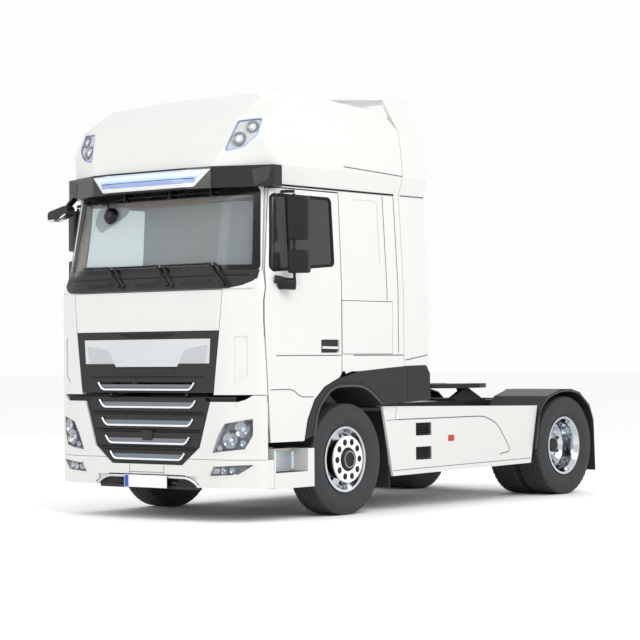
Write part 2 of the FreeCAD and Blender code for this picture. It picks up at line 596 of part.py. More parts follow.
# Engine and gearbox: plain blocks, since the cab and frame close them in, on two mounts.
engine_pieces = [
    box("engine", (-S.engine_half, S.engine_half), (back(S.engine_front), back(S.engine_rear)),
        (S.engine_bottom, S.engine_top)),
    box("gearbox", (-S.gearbox_half, S.gearbox_half),
        (back(S.engine_rear), back(S.gearbox_rear)), (S.gearbox_bottom, S.gearbox_top)),
    box("engine_mounts", (-web_x + S.seat_gap, web_x - S.seat_gap),
        (back(S.mount_front), back(S.mount_front) + S.mount_long),
        (S.mount_bottom, S.mount_top)),
]
node("engine_block", fuse("engine_and_gearbox", *engine_pieces))
flange_x = S.rail_outer - S.rail_flange - S.seat_gap
node("radiator", box("radiator_core", (-flange_x, flange_x),
                     (back(S.radiator_front), back(S.radiator_rear)),
                     (S.radiator_bottom, S.radiator_top)))

# Rear axle: a tube through a round differential case, with a spindle at each end.
case = rod("diff_case", "Y", (0.0, S.axle_height), S.diff_radius, REAR_AXLE - S.diff_half,
           REAR_AXLE + S.diff_half)
nose = rod("diff_nose", "Y", (0.0, S.axle_height), S.nose_radius,
           REAR_AXLE - S.diff_half - S.nose_long, REAR_AXLE)
tube = rod("axle_casing", "X", (REAR_AXLE, S.axle_height), S.axle_tube, -S.rear_tube_half,
           S.rear_tube_half)
shafts = rod("axle_spindles", "X", (REAR_AXLE, S.axle_height), S.spindle_radius,
             -S.rear_hub_end + S.rotor_thick * 2 + S.ear_gap,
             S.rear_hub_end - S.rotor_thick * 2 - S.ear_gap)
node("rear_axle", fuse("rear_axle_casing", case, nose, tube, shafts))
node("propeller_shaft", rod("drive_tube", "Y", (0.0, S.axle_height), S.shaft_radius,
                            back(S.gearbox_rear) + S.seat_gap,
                            REAR_AXLE - S.diff_half - S.nose_long - S.seat_gap))

# Rear suspension: a beam under the axle on each side, with an air bellow at both ends.
bellow_x = (S.beam_inner + S.beam_outer) / 2
beam_high = S.axle_height - S.axle_tube - S.seat_gap
bellow_beam = box("bellow_beam", (S.beam_inner, S.beam_outer),
                  (REAR_AXLE - S.bellow_beam_half, REAR_AXLE + S.bellow_beam_half),
                  (beam_high - S.bellow_beam_thick, beam_high))
bellows = []
for place in (-S.bellow_step, S.bellow_step):
    bellows.append(rod(f"bellow{len(bellows)}", "Z", (bellow_x, REAR_AXLE + place),
                       S.bellow_radius, beam_high + S.seat_gap, S.rail_bottom - S.seat_gap))
both("rear_air_suspension", bellow_beam, *bellows)


# Front face: every panel is a slice of one curved wall in plan, flat across the middle with
# swept corners.
def face_plan(inset, rear):
    side = S.cab_half - inset
    return [
        (-side, back(rear)), (-side, back(S.nose_corner) + inset * 0.6, S.side_round),
        (-S.nose_half, FACE + inset, S.nose_round), (S.nose_half, FACE + inset, S.nose_round),
        (side, back(S.nose_corner) + inset * 0.6, S.side_round), (side, back(rear)),
    ]


def face_band(name, inset, wall, rear, low, high):
    """A wall that follows the front face, inset from it and as thick as wall."""
    outer = prism(f"{name}_outer", "XY", face_plan(inset, rear), low, high)
    inner = prism(f"{name}_inner", "XY", face_plan(inset + wall, rear + S.panel_wall),
                  low - S.ear_gap, high + S.ear_gap)
    return cut(f"{name}_band", outer, inner)


bumper_skin = face_band("bumper", 0.0, S.bumper_wall, S.bumper_rear, S.bumper_bottom,
                        S.bumper_top)


def grille_points(gap):
    """The lower grille's outline, drawn in by a gap."""
    return [
        (-S.grille_low_half + gap, S.grille_bottom + gap),
        (S.grille_low_half - gap, S.grille_bottom + gap),
        (S.grille_wide_half - gap, S.grille_wide), (S.grille_top_half - gap, S.panel_top),
        (-S.grille_top_half + gap, S.panel_top), (-S.grille_wide_half + gap, S.grille_wide),
    ]


front_y = (FACE - S.plate_stand, back(S.bumper_rear + S.panel_wall))
grille_hole = prism("grille_hole", "XZ", grille_points(0.0), *front_y)
valance_hole = box("valance_hole", (-S.valance_half, S.valance_half), front_y,
                   (S.bumper_bottom - S.ear_gap, S.valance_top))


def fog_points(gap):
    """The fog lamp's slit, drawn in by a gap; it runs to a point at its outer end."""
    return [
        (S.fog_inner_low + gap, S.fog_low + gap), (S.fog_outer_low, S.fog_outer_up + gap),
        (S.fog_tip - gap * 4, S.fog_tip_up - gap), (S.fog_outer_high, S.fog_high - gap),
        (S.fog_inner_high + gap, S.fog_inner_up - gap),
    ]


fog_y = (FACE - S.plate_stand, back(S.bumper_rear) - S.bumper_wall)
fog_hole = prism("fog_hole", "XZ", fog_points(0.0), *fog_y)
node("bumper", cut("bumper_panel", bumper_skin, grille_hole, valance_hole, fog_hole,
                   mirror("fog_hole_other", fog_hole)))
valance_skin = face_band("valance", S.valance_inset, S.bumper_wall - S.valance_inset,
                         S.bumper_rear, S.valance_bottom, S.valance_top - S.seat_gap)
valance_block = box("valance_block", (-S.valance_half + S.seat_gap, S.valance_half - S.seat_gap),
                    (FACE, back(S.bumper_wall)), (S.valance_bottom, S.valance_top))
plate_pad = box("plate_pad", (-S.plate_half + S.plate_edge, S.plate_half - S.plate_edge),
                (FACE - S.plate_stand + S.plate_thick + S.seat_gap, back(S.bumper_wall)),
                (S.plate_low + S.plate_edge, S.plate_high - S.plate_edge))
node("bumper_valance", fuse("valance_unit", common("valance_panel", valance_skin, valance_block),
                            plate_pad))

# Corner panels and headlamps: the lamp sits in an opening of the white corner panel.
corner_skin = face_band("corner", 0.0, S.panel_wall, S.panel_rear, S.panel_bottom, S.panel_top)
left_block = box("left_block", (0.0, S.cab_half * 2),
                 (FACE - S.plate_stand, back(S.panel_end)),
                 (S.panel_bottom - S.ear_gap, S.panel_top + S.ear_gap))


def lamp_points(gap):
    return [
        (S.lamp_inner + gap, S.lamp_low + gap), (S.lamp_outer_low - gap, S.lamp_low_outer + gap),
        (S.lamp_outer - gap, S.lamp_middle), (S.lamp_outer - gap, S.lamp_high_outer - gap),
        (S.lamp_inner_high + gap, S.lamp_high - gap),
        ((S.lamp_inner + S.lamp_inner_high) / 2 + gap, S.lamp_middle),
    ]


lamp_hole = prism("lamp_hole", "XZ", lamp_points(0.0), *front_y)
both("corner_panels", common("corner_left", cut("corner_open", corner_skin,
                                               prism("corner_grille_hole", "XZ",
                                                     grille_points(0.0), *front_y), lamp_hole),
                             left_block))
lamp_skin = face_band("lamp", S.lamp_inset, S.panel_wall - S.lamp_inset, S.panel_rear,
                      S.panel_bottom, S.panel_top)
fog_skin = face_band("fog", S.lamp_inset, S.bumper_wall - S.lamp_inset, S.bumper_rear,
                     S.bumper_bottom, S.bumper_top)
both("headlamps", common("headlamp_unit", lamp_skin,
                         prism("lamp_body", "XZ", lamp_points(S.seat_gap), *front_y)),
     common("fog_lamp_unit", fog_skin,
            prism("fog_body", "XZ", fog_points(S.seat_gap), *fog_y)))


# Lower grille: a black moulding inside the white face, with slots between its blades and a
# bright bar with upturned ends along the floor of each slot.
def slot_points(level, half, gap=0.0):
    """A slot with upturned ends, level is its floor."""
    return [
        (-half + S.slot_taper - gap, level - gap), (half - S.slot_taper + gap, level - gap),
        (half + gap, level + S.slot_high / 2), (half + gap, level + S.slot_high + gap),
        (-half - gap, level + S.slot_high + gap), (-half - gap, level + S.slot_high / 2),
    ]


def bar_points(level, half):
    """A bar along a slot's floor that turns up at both ends."""
    rise = level + S.slot_high / 2
    tip = level + S.slot_high * 0.85
    inner = half - S.bar_thick
    return [
        (-half, tip), (-half, rise), (-half + S.slot_taper, level), (half - S.slot_taper, level),
        (half, rise), (half, tip), (inner, tip), (inner, rise + S.bar_thick * 0.4),
        (inner - S.slot_taper * 0.9, level + S.bar_thick),
        (-inner + S.slot_taper * 0.9, level + S.bar_thick),
        (-inner, rise + S.bar_thick * 0.4), (-inner, tip),
    ]


def bar(name, level, half):
    return prism(name, "XZ", bar_points(level, half), FACE - S.bar_proud, FACE + S.bar_deep)


grille_skin = face_band("grille", S.grille_inset, S.grille_thick, S.panel_rear,
                        S.grille_bottom, S.panel_top)
GRILLE_SLOTS = 4
grille_slots = []
grille_bars = []
for i in range(GRILLE_SLOTS):
    level = S.slot_first - i * S.slot_pitch - S.slot_high
    half = S.slot_half - i * S.slot_taper
    grille_slots.append(prism(f"slot{i}", "XZ", slot_points(level, half), *front_y))
    grille_bars.append(bar(f"grille_bar{i}", level, half))
grille_body = common("grille_blank", grille_skin,
                     prism("grille_body", "XZ", grille_points(S.seat_gap), *front_y))
node("lower_grille", fuse("lower_grille_unit",
                          cut("lower_grille_moulding", grille_body, *grille_slots),
                          *grille_bars))
node("number_plate", box("plate", (-S.plate_half, S.plate_half),
                         (FACE - S.plate_stand, FACE - S.plate_stand + S.plate_thick),
                         (S.plate_low, S.plate_high)))


# Steps: a white box on each side between the bumper and the front wheel, skewed at the back
# to clear the steered tyre, with a tread half way up.
step_plan = [
    (S.step_inner, back(S.step_front)), (S.cab_half, back(S.step_front)),
    (S.cab_half, back(S.step_rear)), (S.step_inner, back(S.step_rear) - S.step_skew),
]
step_solid = prism("step_solid", "XY", step_plan, S.step_bottom, S.step_top)
step_well = box("step_well", (S.step_inner + S.step_wall * 3, S.cab_half * 2),
                (back(S.step_front) + S.step_wall, back(S.step_rear) - S.step_skew - S.step_wall),
                (S.step_tread, S.step_top + S.step_wall))
step_arm = box("step_arm", (S.rail_outer + S.seat_gap, S.step_inner),
               (back(S.step_arm_front), back(S.step_arm_rear)),
               (S.step_arm_bottom, S.step_arm_top))
step_post = box("step_post", (S.rail_outer + S.seat_gap, S.rail_outer + S.step_wall),
                (back(S.step_arm_front), back(S.step_arm_rear)),
                (S.step_arm_bottom, S.rail_top - S.member_inset))
both("step_boxes", fuse("step_unit", cut("step_body", step_solid, step_well), step_arm, step_post))

# Fuel tank and its mirror, each strapped to the rail and hidden by a skirt.
tank_plan = [
    (S.tank_inner, S.tank_bottom, S.tank_round), (S.tank_outer, S.tank_bottom, S.tank_round),
    (S.tank_outer, S.tank_top, S.tank_round), (S.tank_inner, S.tank_top, S.tank_round),
]
tank = prism("tank_shell", "XZ", tank_plan, back(S.tank_front), back(S.tank_rear))
tank_arms = []
for i, place in enumerate((S.tank_front + S.tank_strap * 3, S.tank_rear - S.tank_strap * 4)):
    tank_arms.append(box(f"tank_arm{i}", (S.rail_outer + S.seat_gap, S.tank_inner + S.tank_round),
                         (back(place), back(place) + S.tank_strap),
                         (S.rail_bottom + S.member_inset, S.rail_bottom + S.tank_strap)))
both("side_tanks", fuse("tank_unit", tank, *tank_arms))

# Skirts: a white panel along each side with two square vents, on ribs that meet the tank.
skirt_points = [
    (back(S.skirt_front_top), S.skirt_top), (back(S.skirt_rear_top), S.skirt_tail_top),
    (back(S.skirt_rear_bottom), S.skirt_tail_bottom),
    (back(S.skirt_front_bottom), S.skirt_bottom),
]
skirt_plate = prism("skirt_plate", "YZ", skirt_points, S.skirt_inner, S.skirt_outer)
vents = [
    box("vent_low", (S.skirt_inner - S.rib_thick, S.skirt_outer + S.rib_thick),
        (back(S.vent_front), back(S.vent_rear)), (S.vent_low, S.vent_mid_low)),
    box("vent_high", (S.skirt_inner - S.rib_thick, S.skirt_outer + S.rib_thick),
        (back(S.vent_front), back(S.vent_rear)), (S.vent_mid_high, S.vent_high)),
]
ribs = []
for i, place in enumerate((S.vent_rear + S.rib_thick * 3, S.tank_rear - S.rib_thick * 6)):
    ribs.append(box(f"rib{i}", (S.tank_outer + S.seat_gap, S.skirt_inner),
                    (back(place), back(place) + S.rib_thick),
                    (S.tank_bottom + S.tank_round, S.tank_top - S.tank_round)))
both("side_skirts", fuse("skirt_unit", cut("skirt_panel", skirt_plate, *vents), *ribs))
node("deck_plate", box("deck", (-S.deck_half, S.deck_half),
                       (back(S.deck_front), back(S.deck_rear)),
                       (S.rail_top + S.seat_gap, S.rail_top + S.deck_thick)))

# Flaps behind the front wheels: a rubber sheet on an arm from each rail.
flap_points = [
    (back(S.flap_front_top), S.flap_high), (back(S.flap_front_low), S.flap_low),
    (back(S.flap_front_low) + S.flap_thick, S.flap_low),
    (back(S.flap_front_top) + S.flap_thick, S.flap_high),
]
flap_arm = box("flap_arm", (S.rail_outer + S.seat_gap, S.flap_outer - S.rib_thick),
               (back(S.flap_front_top) + S.rib_thick, back(S.flap_front_top) + S.rib_thick * 2),
               (S.flap_arm_low, S.flap_arm_high))
both("front_flaps", fuse("flap_unit", prism("flap_sheet", "YZ", flap_points, S.flap_inner,
                                            S.flap_outer), flap_arm))


# Rear mudguards: a seven-sided arch over the twin tyres, on a web and an arm from the rail.
def guard_points(inset):
    y = REAR_AXLE
    return [
        (y - S.guard_front + inset, S.guard_front_low), (y - S.guard_front_mid + inset * 0.9,
                                                         S.guard_shoulder - inset * 0.4),
        (y - S.guard_front_top + inset * 0.4, S.guard_upper - inset),
        (y - S.guard_web * 8, S.guard_high - inset),
        (y + S.guard_web * 9, S.guard_high - inset),
        (y + S.guard_rear_top - inset * 0.2, S.guard_high - S.guard_web * 3 - inset),
        (y + S.guard_rear_mid - inset * 0.6, S.guard_shoulder + S.guard_web * 2 - inset * 0.7),
        (y + S.guard_rear - inset, S.guard_shoulder - S.guard_web * 11),
        (y + S.guard_tail - inset, S.guard_low),
    ]


guard_solid = prism("guard_solid", "YZ", guard_points(0.0), S.guard_inner, S.guard_outer)
guard_void = prism("guard_void", "YZ", guard_points(S.guard_thick),
                   S.guard_inner - S.guard_web, S.guard_outer + S.guard_web)
guard_chin = prism("guard_chin", "YZ", [
    (REAR_AXLE - S.guard_front - S.guard_web, S.guard_front_low - S.guard_web * 30),
    (REAR_AXLE + S.guard_rear - S.guard_thick, S.guard_low - S.guard_web),
    (REAR_AXLE + S.guard_rear - S.guard_thick, S.guard_low + S.guard_web),
    (REAR_AXLE - S.guard_front + S.guard_thick, S.guard_front_low + S.guard_web),
    (REAR_AXLE - S.guard_front - S.guard_web, S.guard_front_low + S.guard_web * 0.1),
], S.guard_inner - S.guard_web, S.guard_outer + S.guard_web)
guard_web_plate = box("guard_web", (S.guard_inner - S.guard_web * 2, S.guard_inner),
                      (REAR_AXLE - S.guard_web * 8, REAR_AXLE + S.guard_web * 8),
                      (S.guard_arm_low, S.guard_high))
guard_arm = box("guard_arm", (S.rail_outer + S.seat_gap, S.guard_inner - S.guard_web),
                (REAR_AXLE - S.guard_web * 3, REAR_AXLE + S.guard_web * 3),
                (S.guard_arm_low, S.guard_arm_high))
both("rear_mudguards", fuse("guard_unit", cut("guard_arch", guard_solid, guard_void, guard_chin),
                           guard_web_plate, guard_arm))

# Tail lamps: a box on each side, on an arm from the tail member.
tail_lamp = box("tail_lamp_box", (S.tail_lamp_inner, S.tail_lamp_outer),
                (TAIL - S.tail_lamp_deep, TAIL), (S.tail_lamp_low, S.tail_lamp_high))
tail_arm = box("tail_lamp_arm", (S.rail_outer + S.seat_gap, S.tail_lamp_inner),
               (TAIL - S.tail_lamp_deep / 2, TAIL),
               (S.tail_lamp_low, S.tail_lamp_high - S.member_inset))
both("tail_lamps", fuse("tail_lamp_unit", tail_lamp, tail_arm))

# Coupling: a pedestal on the rails carries a pin on each side, and the plate with its open
# throat rocks on those pins.
ped_base = box("ped_base", (-S.rail_outer, S.rail_outer),
               (COUPLING - S.ped_half_long, COUPLING + S.ped_half_long),
               (S.rail_top + S.seat_gap, S.rail_top + S.ped_foot))
ped_points = [
    (COUPLING - S.ped_half_long, S.rail_top + S.ped_foot),
    (COUPLING + S.ped_half_long, S.rail_top + S.ped_foot),
    (COUPLING + S.pivot_radius * 1.6, S.pivot_height + S.pivot_radius),
    (COUPLING - S.pivot_radius * 1.6, S.pivot_height + S.pivot_radius),
]
stand = prism("ped_stand", "YZ", ped_points, S.ped_inner, S.ped_outer)
ped_pin = rod("ped_pin", "X", (COUPLING, S.pivot_height), S.pivot_radius,
              S.ped_inner - S.ped_gap - S.lug_wall, S.ped_inner)
node("coupling_pedestal", fuse("pedestal", ped_base, stand, mirror("stand_other", stand),
                               ped_pin, mirror("pin_other", ped_pin)))
plate_points = [
    (-S.coupling_half, COUPLING - S.coupling_front / 2),
    (-S.coupling_half * 0.6, COUPLING - S.coupling_front),
    (S.coupling_half * 0.6, COUPLING - S.coupling_front),
    (S.coupling_half, COUPLING - S.coupling_front / 2),
    (S.coupling_half, COUPLING + S.coupling_front / 3),
    (S.coupling_half * 0.75, COUPLING + S.coupling_tail), (S.throat_open, COUPLING + S.coupling_tail),
    (S.throat_half, COUPLING + S.coupling_front / 3),
    (S.throat_half, COUPLING), (-S.throat_half, COUPLING),
    (-S.throat_half, COUPLING + S.coupling_front / 3),
    (-S.throat_open, COUPLING + S.coupling_tail), (-S.coupling_half * 0.75, COUPLING + S.coupling_tail),
    (-S.coupling_half, COUPLING + S.coupling_front / 3),
]
top_plate = prism("top_plate", "XY", plate_points, S.coupling_top - S.coupling_thick,
                  S.coupling_top)
throat = rod("throat_round", "Z", (0.0, COUPLING), S.throat_half,
             S.coupling_top - S.coupling_thick * 2, S.coupling_top + S.coupling_thick)
lug_points = [
    (COUPLING - S.lug_wall * 3, S.coupling_top - S.coupling_thick),
    (COUPLING - S.lug_wall * 1.5, S.pivot_height - S.lug_wall * 1.5),
    (COUPLING + S.lug_wall * 1.5, S.pivot_height - S.lug_wall * 1.5),
    (COUPLING + S.lug_wall * 3, S.coupling_top - S.coupling_thick),
]
lug = prism("plate_lug", "YZ", lug_points, S.ped_inner - S.ped_gap - S.lug_wall,
            S.ped_inner - S.ped_gap)
lug_hole = rod("lug_hole", "X", (COUPLING, S.pivot_height), S.pivot_radius + S.seat_gap,
               -S.ped_outer, S.ped_outer)
stand_relief = box("stand_relief", (S.ped_inner - S.ped_gap, S.ped_outer + S.ped_gap),
                   (COUPLING - S.pivot_radius * 4, COUPLING + S.pivot_radius * 4),
                   (S.pivot_height - S.coupling_thick, S.pivot_height + S.pivot_radius + S.ped_gap))
node("coupling_plate", cut("coupling_disc", fuse("coupling_solid", top_plate, lug,
                                                 mirror("lug_other", lug)),
                           throat, lug_hole, stand_relief, mirror("relief_other", stand_relief)))

# Cab pivot: an arm from each horn with a pin across, and an ear of the cab on each pin; the
# cab's rear rests on a padded arch.
tilt_y = back(S.tilt_back)
arm_points = [
    (tilt_y - S.arm_round, S.tilt_up), (tilt_y, S.tilt_up - S.arm_round),
    (back(S.rail_start) + S.rail_flange, S.rail_top + S.seat_gap),
    (back(S.rail_start) + S.rail_flange * 2, S.rail_top + S.seat_gap),
    (back(S.rail_start) + S.rail_flange * 2, S.rail_top + S.rail_flange),
    (tilt_y, S.tilt_up + S.arm_round),
]
pivot_arm = prism("pivot_arm", "YZ", arm_points, S.arm_inner, S.arm_outer)
pivot_pin = rod("pivot_pin", "X", (tilt_y, S.tilt_up), S.pin_radius, S.arm_outer - S.arm_round,
                S.ear_outer + S.ear_gap)
cab_pivot = fuse("pivot_unit", pivot_arm, pivot_pin)
rest_beam = box("rest_beam", (-S.rest_half, S.rest_half),
                (back(S.rest_front), back(S.rest_rear)), (S.rest_low, S.rest_high))
rest_legs = []
for side in (1, -1):
    inner = (S.rail_outer - S.rail_flange) * side
    outer = S.rail_outer * side
    pad = S.rest_half * side - S.rest_pad * side
    tag = "left" if side > 0 else "right"
    low, high = (inner, outer) if side > 0 else (outer, inner)
    rest_legs.append(box(f"rest_leg_{tag}", (low, high),
                         (back(S.rest_front), back(S.rest_rear)),
                         (S.rail_top + S.seat_gap, S.rest_low)))
    low, high = (pad, S.rest_half * side) if side > 0 else (S.rest_half * side, pad)
    rest_legs.append(box(f"rest_pad_{tag}", (low, high),
                         (back(S.rest_front), back(S.rest_rear)),
                         (S.rest_high, S.floor_bottom - S.seat_gap)))
node("cab_mounts", group("cab_mount_set", cab_pivot, mirror("pivot_other", cab_pivot),
                         fuse("rest_arch", rest_beam, *rest_legs)))


# Cab form: one shape lofted through plans at the cab's foot, belt, sill and eaves. Every wall,
# door, lid and pane is a slice between this form and the same form set in by its thickness.
def cab_plan(name, level, inset, half, front, nose, corner, rear, nose_round=S.nose_round):
    side = half - inset
    return outline(name, "XY", [
        (-side, back(rear) - inset, S.rear_round),
        (-side, back(corner) + inset * 0.6, S.side_round),
        (-nose, back(front) + inset, nose_round), (nose, back(front) + inset, nose_round),
        (side, back(corner) + inset * 0.6, S.side_round),
        (side, back(rear) - inset, S.rear_round),
    ], level)


cab_forms = {}


def cab_form(name, inset, low=None, rear=None, over=0.0):
    """over carries the form past its foot and eaves, for a clean cut. A form that was made
    before is used again."""
    key = (words(inset), words(low or 0.0), words(rear or 0.0), words(over))
    if key in cab_forms:
        return cab_forms[key]
    foot = (S.cab_bottom if low is None else low) - over
    end = S.cab_rear if rear is None else rear
    face_shape = (S.cab_half, 0.0, S.nose_half, S.nose_corner, end)
    sill_shape = (S.sill_half, S.sill_front, S.sill_nose, S.sill_corner, end)
    eaves_shape = (S.eaves_half, S.eaves_front, S.eaves_nose, S.eaves_corner, end)
    cab_forms[key] = loft(name, [
        cab_plan(f"{name}_foot", foot, inset, *face_shape),
        cab_plan(f"{name}_belt", S.cab_belt, inset, *face_shape),
        cab_plan(f"{name}_sill", S.cab_sill, inset, *sill_shape),
        cab_plan(f"{name}_eaves", S.cab_eaves + over, inset, *eaves_shape),
    ])
    return cab_forms[key]


cab_front = (FACE - S.plate_stand, back(S.dash_rear))


def hatch_points(gap, foot=S.hatch_bottom):
    """The front hatch's outline down to a foot; a negative gap grows it."""
    return [
        (-S.hatch_half_low + gap, foot), (S.hatch_half_low - gap, foot),
        (S.hatch_half_mid - gap, S.hatch_mid),
        (S.hatch_half_top - gap, S.hatch_top - gap),
        (-S.hatch_half_top + gap, S.hatch_top - gap), (-S.hatch_half_mid + gap, S.hatch_mid),
    ]


def cowl_points(gap):
    return [
        (-S.cowl_half + gap, S.cowl_low + gap), (S.cowl_half - gap, S.cowl_low + gap),
        (S.cowl_half - gap, S.cowl_high - gap), (-S.cowl_half + gap, S.cowl_high - gap),
    ]


def glass_points(gap):
    return [
        (-S.glass_low_half + gap, S.glass_low + gap, S.glass_round),
        (S.glass_low_half - gap, S.glass_low + gap, S.glass_round),
        (S.glass_top_half - gap, S.glass_high - gap, S.glass_round),
        (-S.glass_top_half + gap, S.glass_high - gap, S.glass_round),
    ]


def door_points(gap):
    return [
        (back(S.door_front_low) + gap, S.door_sill + gap),
        (back(S.door_foot_rear) - gap, S.door_sill + gap),
        (back(S.door_step1) - gap, S.door_step1_up),
        (back(S.door_step2) - gap * 0.9, S.door_step2_up + gap * 0.6),
        (back(S.door_step3) - gap * 0.6, S.door_step3_up + gap * 0.9),
        (back(S.door_step4) - gap * 0.4, S.door_step4_up + gap),
        (back(S.door_rear) - gap, S.door_step4_up + S.panel_gap * 3),
        (back(S.door_rear) - gap, S.door_mid), (back(S.door_rear_top) - gap, S.door_top - gap),
        (back(S.door_front_top) + gap, S.door_top - gap), (back(S.door_front) + gap, S.door_mid),
        (back(S.door_front) + gap, S.door_mid - S.door_front),
    ]


def window_points(gap):
    return [
        (back(S.window_front) + gap, S.window_low + gap, S.window_round),
        (back(S.window_rear) - gap, S.window_rear_low + gap, S.window_round),
        (back(S.window_rear) - gap, S.window_high - gap, S.window_round),
        (back(S.window_front_top) + gap, S.window_high - gap, S.window_round),
    ]


def lid_points(gap):
    return [
        (back(S.lid_front) + gap, S.lid_low + gap), (back(S.lid_rear) - gap, S.lid_low + gap),
        (back(S.lid_rear) - gap, S.lid_high - gap), (back(S.lid_front) + gap, S.lid_high - gap),
    ]


side_x = (S.cab_half - S.tank_bottom, S.cab_half + S.panel_gap)
outer_form = cab_form("outer_form", 0.0)
inner_form = cab_form("inner_form", S.cab_wall, over=S.ear_gap)
door_hole = prism("door_hole", "YZ", door_points(-S.panel_gap), *side_x)
lid_hole = prism("lid_hole", "YZ", lid_points(-S.panel_gap / 2), *side_x)
cab_skin = cab_form("cowl_inner", -S.seat_gap, over=S.ear_gap)


def recess(name, plane, points, deep, *reach):
    """A shallow recess of the cab's outer face, to cut from a panel."""
    band = cut(f"{name}_band", cab_skin, cab_form(f"{name}_floor", deep, over=S.ear_gap))
    return common(name, band, prism(f"{name}_shape", plane, points, *reach))


blind_window = recess("blind_window", "YZ", [
    (back(S.blind_front), S.blind_low, S.window_round),
    (back(S.blind_rear), S.blind_low, S.window_round),
    (back(S.blind_rear), S.blind_high, S.window_round),
    (back(S.blind_front), S.blind_high, S.window_round),
], S.blind_deep, *side_x)
scoop = recess("corner_scoop", "XZ", [
    (S.scoop_inner, S.scoop_low, S.lip_wide), (S.scoop_outer, S.scoop_low_outer, S.lip_wide),
    (S.scoop_outer, S.scoop_high, S.lip_wide), (S.scoop_inner, S.scoop_high, S.lip_wide),
], S.scoop_deep, *cab_front)
under_points = [
    (back(S.door_front_low), S.cab_bottom - S.panel_gap),
    (back(S.cab_rear) + S.panel_gap, S.cab_bottom - S.panel_gap),
    (back(S.cab_rear) + S.panel_gap, S.under_rear), (back(S.under_far), S.under_mid),
    (back(S.under_start), S.under_front), (back(S.door_step4), S.under_front),
    (back(S.door_front_low), S.cab_bottom + S.panel_gap),
]
under = prism("under_cut", "YZ", under_points, -S.cab_half * 2, S.cab_half * 2)
shell = cut("shell_open", outer_form, inner_form,
            prism("hatch_hole", "XZ", hatch_points(-S.hatch_gap, S.cab_bottom - S.hatch_gap),
                  *cab_front),
            prism("glass_hole", "XZ", glass_points(0.0), *cab_front),
            door_hole, mirror("door_hole_other", door_hole),
            lid_hole, mirror("lid_hole_other", lid_hole), under, blind_window,
            mirror("blind_window_other", blind_window), scoop, mirror("scoop_other", scoop))
# Lips that the doors and lids close on.
skin_in = S.cab_half - S.cab_wall
door_lip = box("door_lip", (skin_in - S.lip_wide, S.cab_half - S.door_wall - S.seat_gap),
               (back(S.door_rear) - S.lip_lap, back(S.door_rear) + S.lip_lap),
               (S.lid_low, S.cab_belt - S.lip_lap))
lid_lip = box("lid_lip", (skin_in - S.lip_wide, S.cab_half - S.lid_wall - S.seat_gap),
              (back(S.lid_front) - S.panel_gap / 4, back(S.lid_rear) + S.lip_lap),
              (S.lid_low - S.lip_lap, S.lid_low + S.lip_wide))
node("cab_shell", fuse("cab_walls", shell, door_lip, mirror("door_lip_other", door_lip),
                       lid_lip, mirror("lid_lip_other", lid_lip)))

# Cab floor: a plate with the front wall on it, the hatch hinges, and the ears that turn on the
# pivot pins.
floor_rear = S.cab_rear - S.cab_wall - S.seat_gap
floor_side = S.cab_half - S.cab_wall - S.seat_gap
floor = box("floor_plate", (-floor_side + S.lip_wide, floor_side - S.lip_wide),
            (back(S.wall_front), back(floor_rear)), (S.floor_bottom, S.floor_top))
floor_ledge = box("floor_ledge", (-floor_side, floor_side),
                  (back(S.lid_front) + S.lip_lap, back(floor_rear) - S.rear_round),
                  (S.floor_bottom, S.floor_top))
front_wall = box("front_wall", (-floor_side + S.lip_wide, floor_side - S.lip_wide),
                 (back(S.wall_front), back(S.wall_rear)), (S.floor_top, S.wall_top))
ear_points = [
    (tilt_y - S.ear_round, S.tilt_up), (tilt_y, S.tilt_up - S.ear_round),
    (tilt_y + S.ear_round, S.tilt_up - S.ear_round / 2),
    (back(S.wall_rear), S.floor_bottom), (back(S.wall_rear), S.floor_top + S.tank_round * 2),
    (back(S.wall_front) - S.tank_round * 2, S.floor_top), (tilt_y - S.ear_round, S.tilt_up + S.ear_round),
]
cab_ear = prism("cab_ear", "YZ", ear_points, S.ear_inner, S.ear_outer)
ear_hole = rod("ear_hole", "X", (tilt_y, S.tilt_up), S.pin_radius + S.seat_gap,
               -S.ear_outer - S.ear_gap, S.ear_outer + S.ear_gap)
hinge_arm = box("hatch_hinge", (S.hinge_place - S.hinge_half, S.hinge_place + S.hinge_half),
                (FACE + S.hatch_thick + S.seat_gap, back(S.wall_front)),
                (S.hatch_top - S.hinge_half * 2, S.hatch_top - S.hinge_half))
floor_unit = fuse("floor_solid", floor, floor_ledge, front_wall, cab_ear,
                  mirror("cab_ear_other", cab_ear), hinge_arm,
                  mirror("hatch_hinge_other", hinge_arm))
node("cab_floor", cut("floor_unit", floor_unit, ear_hole))

# Front hatch: a white panel over a black grille with one slot, and a bare silver plate.
hatch_band = cut("hatch_band", cab_form("hatch_outer", 0.0),
                 cab_form("hatch_inner", S.hatch_thick, over=S.ear_gap))
above_grille = box("above_grille", (-S.cab_half, S.cab_half), cab_front,
                   (S.grille2_top, S.cab_sill))
below_panel = box("below_panel", (-S.cab_half, S.cab_half), cab_front,
                  (S.cab_bottom, S.grille2_top - S.seat_gap))
hatch_shape = prism("hatch_shape", "XZ", hatch_points(0.0), *cab_front)
node("hatch_panel", common("hatch_white", hatch_band, hatch_shape, above_grille))
upper_slot = prism("upper_slot", "XZ",
                   slot_points(S.hatch_bottom + S.slot_high / 2, S.slot_half), *cab_front)
badge_hole = prism("badge_hole", "XZ", [
    (-S.badge_half + S.lip_wide, S.badge_low), (S.badge_half - S.lip_wide, S.badge_low),
    (S.badge_half, S.badge_high), (-S.badge_half, S.badge_high),
], *cab_front)
grille_part = common("hatch_black", hatch_band, hatch_shape, below_panel)
badge_recess = common("badge_recess", badge_hole,
                      cut("badge_shallow", cab_form("badge_outer", -S.ear_gap),
                          cab_form("badge_inner", S.lamp_inset, over=S.ear_gap)))
